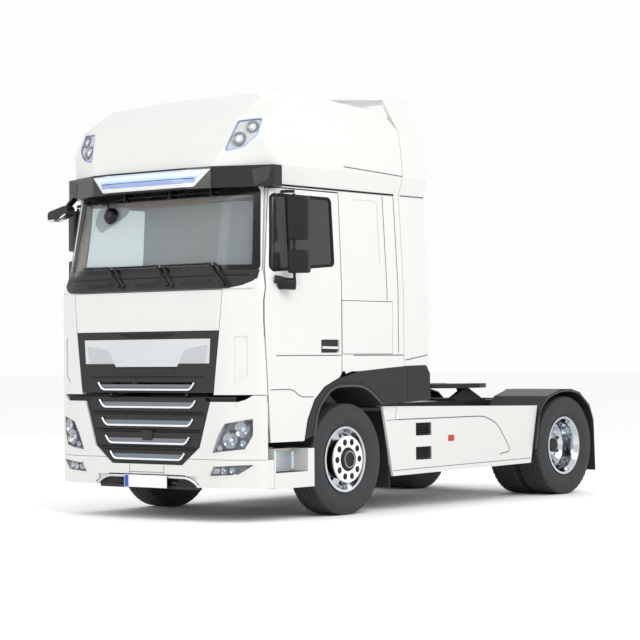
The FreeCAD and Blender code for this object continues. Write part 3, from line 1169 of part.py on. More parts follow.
node("hatch_grille", fuse("hatch_grille_unit",
                          cut("hatch_grille_open", grille_part, upper_slot, badge_recess),
                          bar("hatch_bar", S.hatch_bottom + S.slot_high / 2, S.slot_half)))
node("badge_plate", common("badge_blank", badge_hole,
                           cut("badge_band", cab_form("badge_face", 0.0),
                               cab_form("badge_back", S.lamp_inset - S.seat_gap,
                                        over=S.ear_gap))))

# Windscreen and the black cowl below it.
node("windscreen", common("windscreen_pane",
                          cut("glass_band", cab_form("glass_outer", S.glass_inset),
                              cab_form("glass_inner", S.glass_inset + S.glass_thick,
                                       over=S.ear_gap)),
                          prism("glass_shape", "XZ", glass_points(S.seat_gap), *cab_front)))
node("cowl", common("cowl_moulding",
                    cut("cowl_band", cab_form("cowl_outer", -S.cowl_proud), cab_skin),
                    prism("cowl_shape", "XZ", cowl_points(0.0), *cab_front)))

# Doors: a thick panel with a window, and its pane.
door_low = S.door_sill - S.panel_gap
door_band = cut("door_band", cab_form("door_outer", 0.0, low=door_low),
                cab_form("door_inner", S.door_wall, low=door_low, over=S.ear_gap))
door_shape = prism("door_shape", "YZ", door_points(0.0), *side_x)
window_hole = prism("window_hole", "YZ", window_points(0.0), *side_x)
handle_well = recess("handle_well", "YZ", [
    (back(S.handle_front), S.handle_low, S.lip_wide),
    (back(S.handle_rear), S.handle_low, S.lip_wide),
    (back(S.handle_rear), S.handle_high, S.lip_wide),
    (back(S.handle_front), S.handle_high, S.lip_wide),
], S.handle_deep, *side_x)
pair("door", cut("door_panel", common("door_blank", door_band, door_shape), window_hole,
                 handle_well))
pane_band = cut("pane_band", cab_form("pane_outer", S.lamp_inset),
                cab_form("pane_inner", S.lamp_inset + S.glass_thick, over=S.ear_gap))
pair("door_glass", common("door_pane", pane_band,
                          prism("pane_shape", "YZ", window_points(S.seat_gap), *side_x)))

# Lids of the side lockers, behind the doors.
lid_band = cut("lid_band", cab_form("lid_outer", 0.0),
               cab_form("lid_inner", S.lid_wall, over=S.ear_gap))
pair("locker_lid", common("lid_panel", lid_band,
                          prism("lid_shape", "YZ", lid_points(0.0), *side_x)))

# Mirrors: two housings on a post, turned so that their outer ends lie further back, and held
# to the door by a foot below and an arm above.
lean = math.radians(SIZES["mirror_turn"])


def mirror_corner(across, deep):
    """A point of the housing's plan: its share of the width, then of the depth."""
    x = S.mirror_inner + S.mirror_wide * (across * math.cos(lean))
    y = back(S.mirror_front) + S.mirror_wide * (across * math.sin(lean))
    return (x - S.mirror_deep * (deep * math.sin(lean)),
            y + S.mirror_deep * (deep * math.cos(lean)), S.mirror_round)


housing = [mirror_corner(0, 0), mirror_corner(1, 0), mirror_corner(1, 1), mirror_corner(0, 1)]
post_x, post_y = mirror_corner(0.3, 0.6)[:2]
post_high = S.arm_high - S.post_radius
mirror_arm = box("mirror_arm", (S.arm_skin, post_x + S.post_radius),
                 (post_y - S.post_radius, back(S.arm_rear)), (S.arm_low, S.arm_high))
mirror_foot = prism("mirror_foot", "XY", [
    (S.cab_half + S.seat_gap, back(S.foot_front)), (post_x + S.post_radius, post_y - S.post_radius),
    (post_x + S.post_radius, post_y + S.post_radius),
    (S.cab_half + S.seat_gap, back(S.foot_rear)),
], S.foot_low, S.foot_high)
pair("mirror", fuse("mirror_unit",
                    prism("mirror_main", "XY", housing, S.mirror_low, S.mirror_high),
                    prism("mirror_wide", "XY", housing, S.small_low, S.small_high),
                    rod("mirror_post", "Z", (post_x, post_y), S.post_radius, S.foot_low,
                        post_high), mirror_foot, mirror_arm))


# Roof: lofted like the cab, from the eaves up to a crown, with a crease on each side of its
# broad front that runs up from the ends of the lip.
ROOF_FOOT = S.cab_eaves + S.seat_gap


def roof_form(name, inset, over=0.0, rear=None):
    end = S.cab_rear if rear is None else rear
    high_end = S.roof4_rear if rear is None else rear
    top_end = S.roof5_rear if rear is None else rear
    foot_shape = (S.eaves_half, S.eaves_front, S.eaves_nose, S.eaves_corner, end)
    sections = [cab_plan(f"{name}_foot", ROOF_FOOT - over, inset, *foot_shape)]
    levels = [
        (S.roof1_up, S.roof1_half, S.roof1_front, S.roof1_nose, S.roof1_corner, end),
        (S.roof2_up, S.roof2_half, S.roof2_front, S.roof2_nose, S.roof2_corner, end),
        (S.roof3_up - inset / 2, S.roof3_half, S.roof3_front, S.roof3_nose, S.roof3_corner, end),
        (S.roof4_up - inset, S.roof4_half, S.roof4_front, S.roof4_nose, S.roof4_corner,
         high_end),
        (S.roof5_up - inset, S.roof5_half, S.roof5_front, S.roof5_nose, S.roof5_corner,
         top_end),
    ]
    for i, (level, *shape) in enumerate(levels):
        sections.append(cab_plan(f"{name}{i}", level, inset, *shape, S.crease_round))
    return loft(name, sections)


def roof_lamp_points(gap):
    """A roof lamp's outline, drawn in by a gap."""
    return [
        (S.roof_lamp_in + gap, S.roof_lamp_in_up + gap, S.roof_lamp_round),
        (S.roof_lamp_mid, S.roof_lamp_mid_up + gap, S.roof_lamp_round),
        (S.roof_lamp_out - gap, S.roof_lamp_out_up, S.roof_lamp_round),
        (S.roof_lamp_top - gap, S.roof_lamp_top_up - gap, S.roof_lamp_round),
        (S.roof_lamp_head + gap, S.roof_lamp_head_up - gap, S.roof_lamp_round),
    ]


roof_front = (FACE, back(S.roof5_front))
roof_outer = roof_form("roof_outer", 0.0)
roof_inner = roof_form("roof_inner", S.roof_wall, over=S.ear_gap)
lamp_pocket = common("roof_lamp_pocket",
                     cut("roof_lamp_band", roof_form("roof_skin", -S.ear_gap),
                         roof_form("roof_lamp_floor", S.roof_lamp_deep, over=S.ear_gap)),
                     prism("roof_lamp_hole", "XZ", roof_lamp_points(0.0), *roof_front))
node("roof_shell", cut("high_roof", roof_outer, roof_inner, lamp_pocket,
                       mirror("roof_lamp_pocket_other", lamp_pocket)))
both("roof_lamps", common("roof_lamp",
                          cut("roof_lens_band", roof_outer,
                              roof_form("roof_lens_back", S.roof_lamp_deep - S.seat_gap,
                                        over=S.ear_gap)),
                          prism("roof_lamp_body", "XZ", roof_lamp_points(S.seat_gap),
                                *roof_front)))


def lip_points(gap):
    """The lip seen from the front: longer at its top, with rounded lower ends."""
    return [
        (-S.lip_low_half + gap, S.lip_low + gap, S.lip_round),
        (S.lip_low_half - gap, S.lip_low + gap, S.lip_round),
        (S.lip_half - gap, S.lip_high - gap), (-S.lip_half + gap, S.lip_high - gap),
    ]


def lip_plan(front, end_front, rear, end_rear):
    """The lip seen from above: flat across the middle and swept back to its ends."""
    return [
        (-S.lip_half, back(end_rear)), (-S.lip_half, back(end_front)),
        (-S.lip_front_half, back(front)), (S.lip_front_half, back(front)),
        (S.lip_half, back(end_front)), (S.lip_half, back(end_rear)),
        (S.lip_front_half, back(rear)), (-S.lip_front_half, back(rear)),
    ]


visor_plan = [
    (-S.visor_half, back(S.visor_rear)), (-S.visor_half, back(S.visor_corner)),
    (-S.lip_half, back(S.lip_sweep)), (-S.lip_front_half, back(S.visor_front)),
    (S.lip_front_half, back(S.visor_front)), (S.lip_half, back(S.lip_sweep)),
    (S.visor_half, back(S.visor_corner)), (S.visor_half, back(S.visor_rear)),
]
lip_reach = (FACE - S.plate_stand, back(S.visor_rear))
visor_block = prism("visor_block", "XY", visor_plan, S.visor_low, S.visor_high)
lip_front_room = S.lip_front - S.plate_stand
lip_room = common("lip_room",
                  prism("lip_room_plan", "XY",
                        lip_plan(lip_front_room, lip_front_room, S.lip_rear + S.seat_gap,
                                 S.lip_end_rear + S.seat_gap), S.visor_low, S.visor_high),
                  prism("lip_room_face", "XZ", lip_points(-S.seat_gap), *lip_reach))
roof_void = roof_form("roof_void", -S.seat_gap, over=S.ear_gap)
band_hole = common("band_hole",
                   prism("band_plan", "XY",
                         lip_plan(lip_front_room, lip_front_room, S.lip_front + S.band_deep,
                                  S.lip_sweep + S.band_deep), S.lip_low, S.lip_high),
                   prism("band_face", "XZ", [
                       (-S.band_low_half, S.band_low, S.lip_wide),
                       (S.band_low_half, S.band_low, S.lip_wide),
                       (S.band_half, S.band_high, S.lip_wide),
                       (-S.band_half, S.band_high, S.lip_wide),
                   ], *lip_reach))
node("roof_lip", cut("lip", common("lip_blank",
                                   prism("lip_solid", "XY",
                                         lip_plan(S.lip_front, S.lip_sweep, S.lip_rear,
                                                  S.lip_end_rear), S.lip_low, S.lip_high),
                                   prism("lip_face", "XZ", lip_points(0.0), *lip_reach)),
                     band_hole))
kerb_points = [
    (-S.kerb_inner, S.kerb_high, S.lip_round), (-S.kerb_inner, S.kerb_low + S.kerb_drop,
                                                S.lip_round),
    (-S.kerb_outer, S.kerb_low, S.lip_round), (-S.kerb_outer, S.kerb_high - S.kerb_drop,
                                               S.lip_round),
]
kerb_mirror = prism("kerb_mirror", "XZ", kerb_points, back(S.kerb_front), back(S.kerb_rear))
kerb_x = (S.kerb_inner + S.kerb_outer) / -2
kerb_arm = prism("kerb_arm", "YZ", [
    (back(S.kerb_front) + S.kerb_arm, S.kerb_high - S.kerb_drop * 1.5),
    (back(S.kerb_rear) - S.kerb_arm, S.kerb_high - S.kerb_drop * 1.5),
    (back(S.visor_corner), S.visor_low), (back(S.visor_corner), S.visor_low + S.kerb_arm),
    (back(S.visor_corner) - S.kerb_drop, S.visor_low + S.kerb_arm),
], kerb_x - S.kerb_arm / 2, kerb_x + S.kerb_arm / 2)
node("sun_visor", fuse("visor_unit", cut("visor_body", visor_block, roof_void, cab_skin, lip_room),
                       kerb_mirror, kerb_arm))

# Fins and cap: the panels that carry the cab's lines back to the trailer.
fin_band = cut("fin_band", cab_form("fin_outer", 0.0, rear=S.fin_rear),
               cab_form("fin_inner", S.fin_wall, rear=S.fin_rear + S.cap_wall * 2,
                        over=S.ear_gap))
fin_block = box("fin_block", (0.0, S.cab_half * 2),
                (back(S.cab_rear) + S.seat_gap, back(S.fin_rear) - S.rear_round),
                (S.fin_low, S.cab_eaves - S.seat_gap))
high_band = cut("high_band", roof_form("high_outer", 0.0, rear=S.fin_rear),
                roof_form("high_inner", S.fin_wall, rear=S.fin_rear + S.cap_wall * 2,
                          over=S.ear_gap))
high_block = box("high_block", (0.0, S.cab_half * 2),
                 (back(S.cab_rear) + S.seat_gap, back(S.fin_rear) - S.rear_round),
                 (ROOF_FOOT, S.fin_top))
both("side_fins", common("fin_panel", fin_band, fin_block),
     common("high_panel", high_band, high_block))
cap_foot = S.roof5_up + S.seat_gap
cap_side = prism("cap_side", "YZ", [
    (back(S.cap_front), cap_foot), (back(S.roof5_rear), cap_foot),
    (back(S.cap_rear), S.cap_high - S.cap_wall), (back(S.cap_rear), S.cap_high),
    (back(S.cap_front), cap_foot + S.cap_lip),
], -S.cap_half, S.cap_half)
cap_plan = prism("cap_plan", "XY", [
    (-S.cap_front_half, back(S.cap_front)), (S.cap_front_half, back(S.cap_front)),
    (S.cap_half, back(S.cab_rear)), (S.cap_half, back(S.cap_rear)),
    (-S.cap_half, back(S.cap_rear)), (-S.cap_half, back(S.cab_rear)),
], S.fin_top, S.cap_high + S.cap_lip)
cheek_run = (S.fin_top - S.roof3_up) / (S.roof4_up - S.roof3_up)
cheek_foot = S.roof3_half - (S.roof3_half - S.roof4_half) * cheek_run
cap_cheek = prism("cap_cheek", "XZ", [
    (cheek_foot - S.fin_wall, S.fin_top + S.seat_gap), (cheek_foot, S.fin_top + S.seat_gap),
    (S.cap_half, S.cap_high - S.cap_wall), (S.cap_half - S.fin_wall, S.cap_high - S.cap_wall),
], back(S.cab_rear) + S.seat_gap, back(S.fin_rear) - S.rear_round)
node("roof_cap", fuse("cap", common("cap_panel", cap_side, cap_plan), cap_cheek,
                      mirror("cap_cheek_other", cap_cheek)))

# Wheel arches of the cab: a broad black lip round each front wheel, run back under the fins,
# with a liner over the tyre.
arch_gap = S.panel_gap
arch_points = [
    (back(S.door_foot_rear) + arch_gap, S.arch_foot),
    (back(S.door_step1) + arch_gap, S.door_step1_up),
    (back(S.door_step2) + arch_gap, S.door_step2_up - arch_gap * 0.6),
    (back(S.door_step3) + arch_gap * 0.6, S.door_step3_up - arch_gap),
    (back(S.door_step4) + arch_gap * 0.4, S.door_step4_up - arch_gap),
    (back(S.under_start), S.under_front - S.seat_gap), (back(S.under_far), S.under_mid - S.seat_gap),
    (back(S.cab_rear) + S.panel_gap, S.under_rear - S.seat_gap),
    (back(S.arch_rear) - S.fin_wall * 2, S.fin_low - S.seat_gap),
    (back(S.arch_rear), S.fin_low - S.rotor_thick * 2), (back(S.arch_rear), S.arch_rear_low),
    (back(S.arch_tail), S.arch_tail_low),
]


def mouth_points(grow):
    """The arch's opening round the wheel, grown by a wall; it is open at its foot."""
    foot = S.arch_foot - S.mouth_round
    return [
        (back(S.mouth_foot) - grow, foot),
        (back(S.mouth_front) - grow, S.mouth_front_up + grow / 3, S.mouth_round),
        (back(S.mouth_head) - grow / 3, S.mouth_high + grow, S.mouth_round_wide),
        (back(S.mouth_crown) + grow / 3, S.mouth_high + grow, S.mouth_round_wide),
        (back(S.mouth_tail) + grow, S.mouth_tail_up + grow / 3), (back(S.mouth_tail) + grow, foot),
    ]


arch_void = prism("arch_void", "YZ", mouth_points(0.0), S.arch_liner_inner - S.panel_gap,
                  S.cab_half + S.panel_gap)
arch_lip = cut("arch_lip", prism("arch_plate", "YZ", arch_points, S.arch_inner, S.arch_skin),
               arch_void)
liner_ring = cut("liner_ring",
                 prism("liner_out", "YZ", mouth_points(S.liner_thick), S.arch_liner_inner,
                       S.arch_inner), arch_void)
liner = common("liner", liner_ring,
               box("liner_block", (S.arch_liner_inner, S.arch_inner),
                   (FACE, back(S.cab_rear)), (S.arch_liner_from, S.floor_bottom)))
liner_post = box("liner_post", (S.arch_inner - S.rib_thick, S.arch_inner),
                 (FRONT_AXLE - S.rib_thick, FRONT_AXLE + S.rib_thick),
                 (S.mouth_high, S.floor_bottom - S.seat_gap))
both("cab_wheel_arches", fuse("arch_unit", arch_lip, liner, liner_post))

# Inside the cab: dashboard with its column, two seats, a bunk over the lockers, and the
# steering wheel, which is a body of its own.
dash_points = [
    (back(S.dash_front), S.dash_low), (back(S.dash_rear), S.dash_low),
    (back(S.dash_rear), S.dash_high - S.tank_round),
    (back(S.dash_rear) - S.tank_round, S.dash_high), (back(S.dash_shelf), S.dash_high),
    (back(S.dash_shelf), S.dash_high - S.shelf_thick),
    (back(S.dash_front), S.dash_high - S.shelf_thick),
]
dash = common("dash_body", cab_form("dash_form", S.cab_wall + S.panel_gap),
              prism("dash_block", "YZ", dash_points, -S.dash_half, S.dash_half))
dash_leg = box("dash_leg", (-S.dash_half / 3, S.dash_half / 3),
               (back(S.wall_rear) + S.seat_gap, back(S.dash_rear) - S.tank_round),
               (S.floor_top + S.seat_gap, S.dash_low))


def steer_place(thing, along):
    """Lean a piece of the steering like its column, a distance along it from the wheel."""
    tilt = math.radians(SIZES["steer_lean"])
    thing.Placement = Placement(Vector(), Rotation(Vector(1, 0, 0), -SIZES["steer_lean"]))
    bind(thing, "Placement.Base.x", S.seat_side)
    bind(thing, "Placement.Base.y", back(S.column_y) + along * math.sin(tilt))
    bind(thing, "Placement.Base.z", S.column_z + along * math.cos(tilt))
    return thing


column = doc.addObject("Part::Cylinder", "steering_column")
bind(column, "Radius", S.column_radius)
bind(column, "Height", S.column_long)
node("dashboard", fuse("dashboard_unit", dash, dash_leg,
                       steer_place(column, -S.column_long - S.seat_gap)))
seat_pieces = [
    box("seat_cushion", (S.seat_side - S.seat_half, S.seat_side + S.seat_half),
        (back(S.seat_front), back(S.seat_rear)), (S.seat_low, S.seat_high)),
    box("seat_back", (S.seat_side - S.seat_half, S.seat_side + S.seat_half),
        (back(S.seat_rear) - S.back_thick, back(S.seat_rear)), (S.seat_high, S.back_high)),
    box("seat_stand", (S.seat_side - S.seat_half / 2, S.seat_side + S.seat_half / 2),
        (back(S.seat_front) + S.back_thick, back(S.seat_rear) - S.back_thick),
        (S.floor_top + S.seat_gap, S.seat_low)),
]
both("seats", fuse("seat_unit", *seat_pieces))
node("bunk", fuse("bunk_unit",
                  box("mattress", (-floor_side + S.lip_wide * 2, floor_side - S.lip_wide * 2),
                      (back(S.bunk_front), back(floor_rear) - S.seat_gap),
                      (S.bunk_low, S.bunk_high)),
                  box("bunk_base", (-S.dash_half / 2, S.dash_half / 2),
                      (back(S.bunk_front) + S.tank_round, back(floor_rear) - S.tank_round),
                      (S.floor_top + S.seat_gap, S.bunk_low))))
ring = doc.addObject("Part::Torus", "steering_ring")
bind(ring, "Radius1", S.wheel_ring)
bind(ring, "Radius2", S.wheel_tube)
hub_disc = doc.addObject("Part::Cylinder", "steering_hub")
bind(hub_disc, "Radius", S.wheel_ring / 3)
bind(hub_disc, "Height", S.wheel_tube * 1.5)
spokes = doc.addObject("Part::Box", "steering_spokes")
bind(spokes, "Length", S.wheel_ring * 2)
bind(spokes, "Width", S.wheel_tube * 2)
bind(spokes, "Height", S.wheel_tube)
put(spokes, -S.wheel_ring, -S.wheel_tube, 0.0)
node("steering_wheel", steer_place(fuse("steering_unit", ring, hub_disc, spokes), 0.0))

doc.recompute()
faults = [item.Name for item in doc.Objects if {"Invalid", "Error"} & set(item.State)]
if faults:
    raise SystemExit(f"features that failed: {faults}")
for item in nodes:
    shape = item.Shape
    if shape.isNull() or not shape.isValid() or not shape.Solids:
        raise SystemExit(f"{item.Label} has no sound solid")
    shape.exportStep(f"parts/{item.Label}.step")
    box = shape.BoundBox
    print(f"{item.Label:24s} solids {len(shape.Solids)} x {box.XMin:8.1f} {box.XMax:8.1f}"
          f" y {box.YMin:8.1f} {box.YMax:8.1f} z {box.ZMin:7.1f} {box.ZMax:7.1f}")
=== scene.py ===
"""Looks of a two-axle semi truck tractor unit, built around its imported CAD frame.
Lengths are in metres. +X is the vehicle's left, -Y its front, +Z up."""
import math

import bmesh
import bpy
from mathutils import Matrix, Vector
from mathutils.bvhtree import BVHTree


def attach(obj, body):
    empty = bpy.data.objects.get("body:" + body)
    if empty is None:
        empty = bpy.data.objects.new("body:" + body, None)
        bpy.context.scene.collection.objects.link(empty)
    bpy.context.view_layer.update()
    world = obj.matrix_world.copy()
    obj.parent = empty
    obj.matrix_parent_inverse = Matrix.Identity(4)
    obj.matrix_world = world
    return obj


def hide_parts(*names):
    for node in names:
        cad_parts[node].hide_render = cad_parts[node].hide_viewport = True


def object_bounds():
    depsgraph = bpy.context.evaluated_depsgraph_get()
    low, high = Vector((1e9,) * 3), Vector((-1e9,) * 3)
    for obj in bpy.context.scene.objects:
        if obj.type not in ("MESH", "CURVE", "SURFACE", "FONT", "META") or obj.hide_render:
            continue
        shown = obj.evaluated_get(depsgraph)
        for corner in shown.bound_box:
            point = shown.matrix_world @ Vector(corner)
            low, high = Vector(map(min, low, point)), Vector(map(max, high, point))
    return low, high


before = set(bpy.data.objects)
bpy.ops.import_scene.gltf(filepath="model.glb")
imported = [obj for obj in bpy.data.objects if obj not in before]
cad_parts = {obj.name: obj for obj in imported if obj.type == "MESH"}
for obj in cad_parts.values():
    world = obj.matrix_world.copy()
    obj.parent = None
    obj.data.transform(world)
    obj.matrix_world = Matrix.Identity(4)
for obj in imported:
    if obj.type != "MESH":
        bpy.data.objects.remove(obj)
cad_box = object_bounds()

# Studio. A pale floor under a soft white sky, broad lamps high up on the vehicle's left, ahead
# and behind, and a long lens at the upper grille's height that looks at the front left corner.


def linear(colour):
    """An sRGB hex colour as linear RGBA."""
    channels = [int(colour[i:i + 2], 16) / 255 for i in (1, 3, 5)]
    return [c / 12.92 if c <= 0.04045 else ((c + 0.055) / 1.055) ** 2.4 for c in channels] + [1.0]


def add(tree, kind, links=None, **settings):
    """One node with its settings. Each input is set to a value or linked to a socket."""
    made = tree.nodes.new(kind)
    for name, value in settings.items():
        setattr(made, name, value)
    for name, value in (links or {}).items():
        if isinstance(value, bpy.types.NodeSocket):
            tree.links.new(value, made.inputs[name])
        else:
            made.inputs[name].default_value = value
    return made


def finish(name, colour, roughness, **sockets):
    """A material whose constants sit on the shader's own sockets."""
    made = bpy.data.materials.new(name)
    made.use_nodes = True
    shader = made.node_tree.nodes["Principled BSDF"]
    shader.inputs["Base Color"].default_value = linear(colour)
    shader.inputs["Roughness"].default_value = roughness
    for socket, value in sockets.items():
        shader.inputs[socket.replace("_", " ")].default_value = value
    return made


def grain(made, size, height, tones, gloss, patch=0.6, stretch=(1, 1, 1)):
    """Relief of one grain size and height. The colour drifts between two tones over patches of
    another size, and the roughness between two values over the grains."""
    tree = made.node_tree
    shader = tree.nodes["Principled BSDF"]
    place = add(tree, "ShaderNodeTexCoord").outputs["Object"]
    along = add(tree, "ShaderNodeMapping", {"Vector": place, "Scale": stretch}).outputs["Vector"]
    fine = add(tree, "ShaderNodeTexNoise", {"Vector": along, "Scale": 1 / size, "Detail": 2.0})
    broad = add(tree, "ShaderNodeTexNoise", {"Vector": place, "Scale": 1 / patch, "Detail": 3.0})
    mix = add(tree, "ShaderNodeMix", {0: broad.outputs["Fac"], 6: linear(tones[0]),
                                      7: linear(tones[1])}, data_type="RGBA")
    rough = add(tree, "ShaderNodeMapRange", {"Value": fine.outputs["Fac"], "From Min": 0.3,
                                             "From Max": 0.7, "To Min": gloss[0],
                                             "To Max": gloss[1]})
    bump = add(tree, "ShaderNodeBump", {"Height": fine.outputs["Fac"], "Distance": height})
    tree.links.new(mix.outputs[2], shader.inputs["Base Color"])
    tree.links.new(rough.outputs["Result"], shader.inputs["Roughness"])
    tree.links.new(bump.outputs["Normal"], shader.inputs["Normal"])
    return made


def show(thing):
    """Links a thing to the scene."""
    bpy.context.scene.collection.objects.link(thing)
    return thing


lens = bpy.data.cameras.new("photo_lens")
lens.lens = 120.0
lens.clip_end = 400.0
camera = show(bpy.data.objects.new("photo_camera", lens))
camera.location = (13.186, -16.706, 1.409)
camera.rotation_euler = [math.radians(turn) for turn in (91.068, 0.405, 38.982)]
bpy.context.scene.camera = camera

for name, place, size, power in (("key_lamp", (11.0, -5.0, 10.0), 9.0, 1050.0),
                                 ("front_lamp", (-5.0, -14.0, 7.0), 7.0, 420.0),
                                 ("rear_lamp", (-6.0, 12.0, 9.0), 8.0, 400.0)):
    lamp = bpy.data.lights.new(name, "AREA")
    lamp.size = size
    lamp.energy = power
    held = show(bpy.data.objects.new(name, lamp))
    held.location = place
    held.rotation_euler = (Vector((0, 0, 1.5)) - held.location).to_track_quat("-Z", "Y").to_euler()

world = bpy.data.worlds.new("soft_sky")
bpy.context.scene.world = world
world.use_nodes = True
sky = world.node_tree.nodes["Background"]
sky.inputs["Color"].default_value = linear("#fdfdfd")
sky.inputs["Strength"].default_value = 1.0
# Plain tone curve, so that white paint stays white on a white ground.
bpy.context.scene.view_settings.view_transform = "Standard"

# Matt card: a white ground without a reflection.
studio_floor = grain(finish("studio_floor", "#fbfbfb", 0.8), 0.05, 0.0004,
                     ("#fafafa", "#fcfcfc"), (0.66, 0.74), patch=2.5)
FLOOR_REACH = 150.0
floor_mesh = bpy.data.meshes.new("floor")
floor_mesh.from_pydata([(x * FLOOR_REACH, y * FLOOR_REACH, cad_box[0].z)
                        for x, y in ((-1, -1), (1, -1), (1, 1), (-1, 1))], [], [(0, 1, 2, 3)])
floor_mesh.materials.append(studio_floor)
show(bpy.data.objects.new("floor", floor_mesh))

# Tyres. Black rubber with four grooves round each tread and cross cuts in its ribs, moulded
# with rings on the sidewall. Each rides with its wheel.
FRONT_AXLE = -1.500
REAR_AXLE = 2.100
AXLE_UP = 0.505
TREAD_PITCHES = 48
STEPS_A_PITCH = 8
TREAD_RADIUS = 0.505
GROOVES = (0.083, 0.028)
RIB_PITCH = 0.055
GROOVE_DEEP = 0.013
GROOVE_HALF = 0.005
FRONT_REACH = 1.045
REAR_REACHES = (("outer", 1.090), ("inner", 0.745))
SIDES = ((1, "left"), (-1, "right"))


def tidy(name, made, material, smooth=35.0):
    """Merges doubles, points the faces outwards and keeps edges over smooth degrees sharp."""
    shape = bmesh.new()
    shape.from_mesh(made)
    bmesh.ops.remove_doubles(shape, verts=shape.verts, dist=1e-6)
    bmesh.ops.recalc_face_normals(shape, faces=shape.faces)
    for face in shape.faces:
        face.smooth = True
    for edge in shape.edges:
        if len(edge.link_faces) == 2:
            edge.smooth = edge.calc_face_angle() < math.radians(smooth)
    shape.to_mesh(made)
    shape.free()
    made.materials.clear()
    made.materials.append(material)
    return show(bpy.data.objects.new(name, made))


def solid(name, corners, faces, material, smooth=35.0):
    """A closed mesh piece with outward faces."""
    made = bpy.data.meshes.new(name)
    made.from_pydata(corners, [], faces)
    return tidy(name, made, material, smooth)


def fit(piece, body, slot):
    """Rides on a body. The slot is not used."""
    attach(piece, body)
    return piece


def rings(rows, closed=True):
    """Quads between rows of points, each row a ring; closed joins the last row to the first."""
    count = len(rows[0])
    corners = [point for row in rows for point in row]
    faces = []
    for i in range(len(rows) if closed else len(rows) - 1):
        after = (i + 1) % len(rows)
        for j in range(count):
            step = (j + 1) % count
            faces.append((i * count + j, i * count + step, after * count + step,
                          after * count + j))
    return corners, faces


def tyre(name, x, y, body, cut_deep, cut_steps):
    """A tyre from its section of (radius, reach from its middle), cut across the tread: cut_deep
    is the depth of the cuts and cut_steps how many steps each is wide."""
    wall = [(0.2905, 0.1105), (0.2985, 0.1107), (0.3120, 0.1245), (0.3180, 0.1285),
            (0.3200, 0.1260), (0.3360, 0.1385), (0.3697, 0.1515), (0.3950, 0.1558),
            (0.4134, 0.1568), (0.4300, 0.1553), (0.4320, 0.1535), (0.4400, 0.1533),
            (0.4420, 0.1545), (0.4600, 0.1490), (0.4736, 0.1440), (0.4860, 0.1405),
            (0.4960, 0.1375), (0.5030, 0.1335), (0.5050, 0.1290)]
    crown = []
    for centre in GROOVES:
        crown += [(TREAD_RADIUS, centre + GROOVE_HALF),
                  (TREAD_RADIUS - GROOVE_DEEP, centre + GROOVE_HALF * 0.7),
                  (TREAD_RADIUS - GROOVE_DEEP, centre - GROOVE_HALF * 0.7),
                  (TREAD_RADIUS, centre - GROOVE_HALF)]
    half = wall + crown
    section = half + [(radius, -reach) for radius, reach in reversed(half)]
    around = TREAD_PITCHES * STEPS_A_PITCH
    rows = []
    for radius, reach in section:
        rib = round((reach + 0.14) / RIB_PITCH)
        row = []
        for k in range(around):
            in_cut = (k + rib * 3) % STEPS_A_PITCH < cut_steps and radius > 0.4955
            deep = radius - (cut_deep if in_cut else 0.0)
            turn = 2 * math.pi * k / around
            row.append((x + reach, y + deep * math.cos(turn), AXLE_UP + deep * math.sin(turn)))
        rows.append(row)
    return fit(solid(name, *rings(rows), tyre_rubber), body, "tyre_rubber")


# Moulded rubber: dark grey, with a sheen broken up by its fine grain.
tyre_rubber = grain(finish("moulded_tyre_rubber", "#2c2d2e", 0.75,
                           Specular_IOR_Level=0.4), 0.0025, 0.0006,
                    ("#2a2b2c", "#363739"), (0.62, 0.82), patch=0.12)
for side, tag in SIDES:
    piece = tyre(f"front_tyre_{tag}", FRONT_REACH * side, FRONT_AXLE, f"wheel_front_{tag}",
                 0.004, 1)
    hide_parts(f"tyre_front_{tag}")
    for place, reach in REAR_REACHES:
        piece = tyre(f"rear_{place}_tyre_{tag}", reach * side, REAR_AXLE, f"wheels_rear_{tag}",
                     0.011, 2)
        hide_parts(f"tyres_rear_{tag}")

# Rims. Polished forged aluminium. A white ring with ten holes for the nuts is bolted over each
# front hub, and the rear hubs end in a dark cap inside a circle of plated nuts.
RING_OUTER = 0.212
RING_INNER = 0.108
NUT_CIRCLE = 0.161
NUTS = 10
RING_REACH = 1.1945
BARREL_RADIUS = 0.190
BARREL_REACH = 1.1445
REAR_NUT_REACH = 0.932
STEPS_A_TURN = 72
# A turned section starts this far from its axis, so that its first faces keep some width.
CENTRE = 0.0002


def coat(material, *names):
    """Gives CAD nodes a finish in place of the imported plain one."""
    for name in names:
        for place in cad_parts[name].material_slots:
            place.material = material


def wheel_circle(reach, axle, radius, count):
    """Points round a wheel's own axis."""
    return [(reach, axle + radius * math.cos(2 * math.pi * k / count),
             AXLE_UP + radius * math.sin(2 * math.pi * k / count)) for k in range(count)]


def turned(name, section, axle, side, material, body, slot):
    """A section of (radius, reach outboard) turned about a wheel's own axis into a ring."""
    rows = [wheel_circle(reach * side, axle, radius, STEPS_A_TURN) for radius, reach in section]
    fit(solid(name, *rings(rows), material), body, slot)


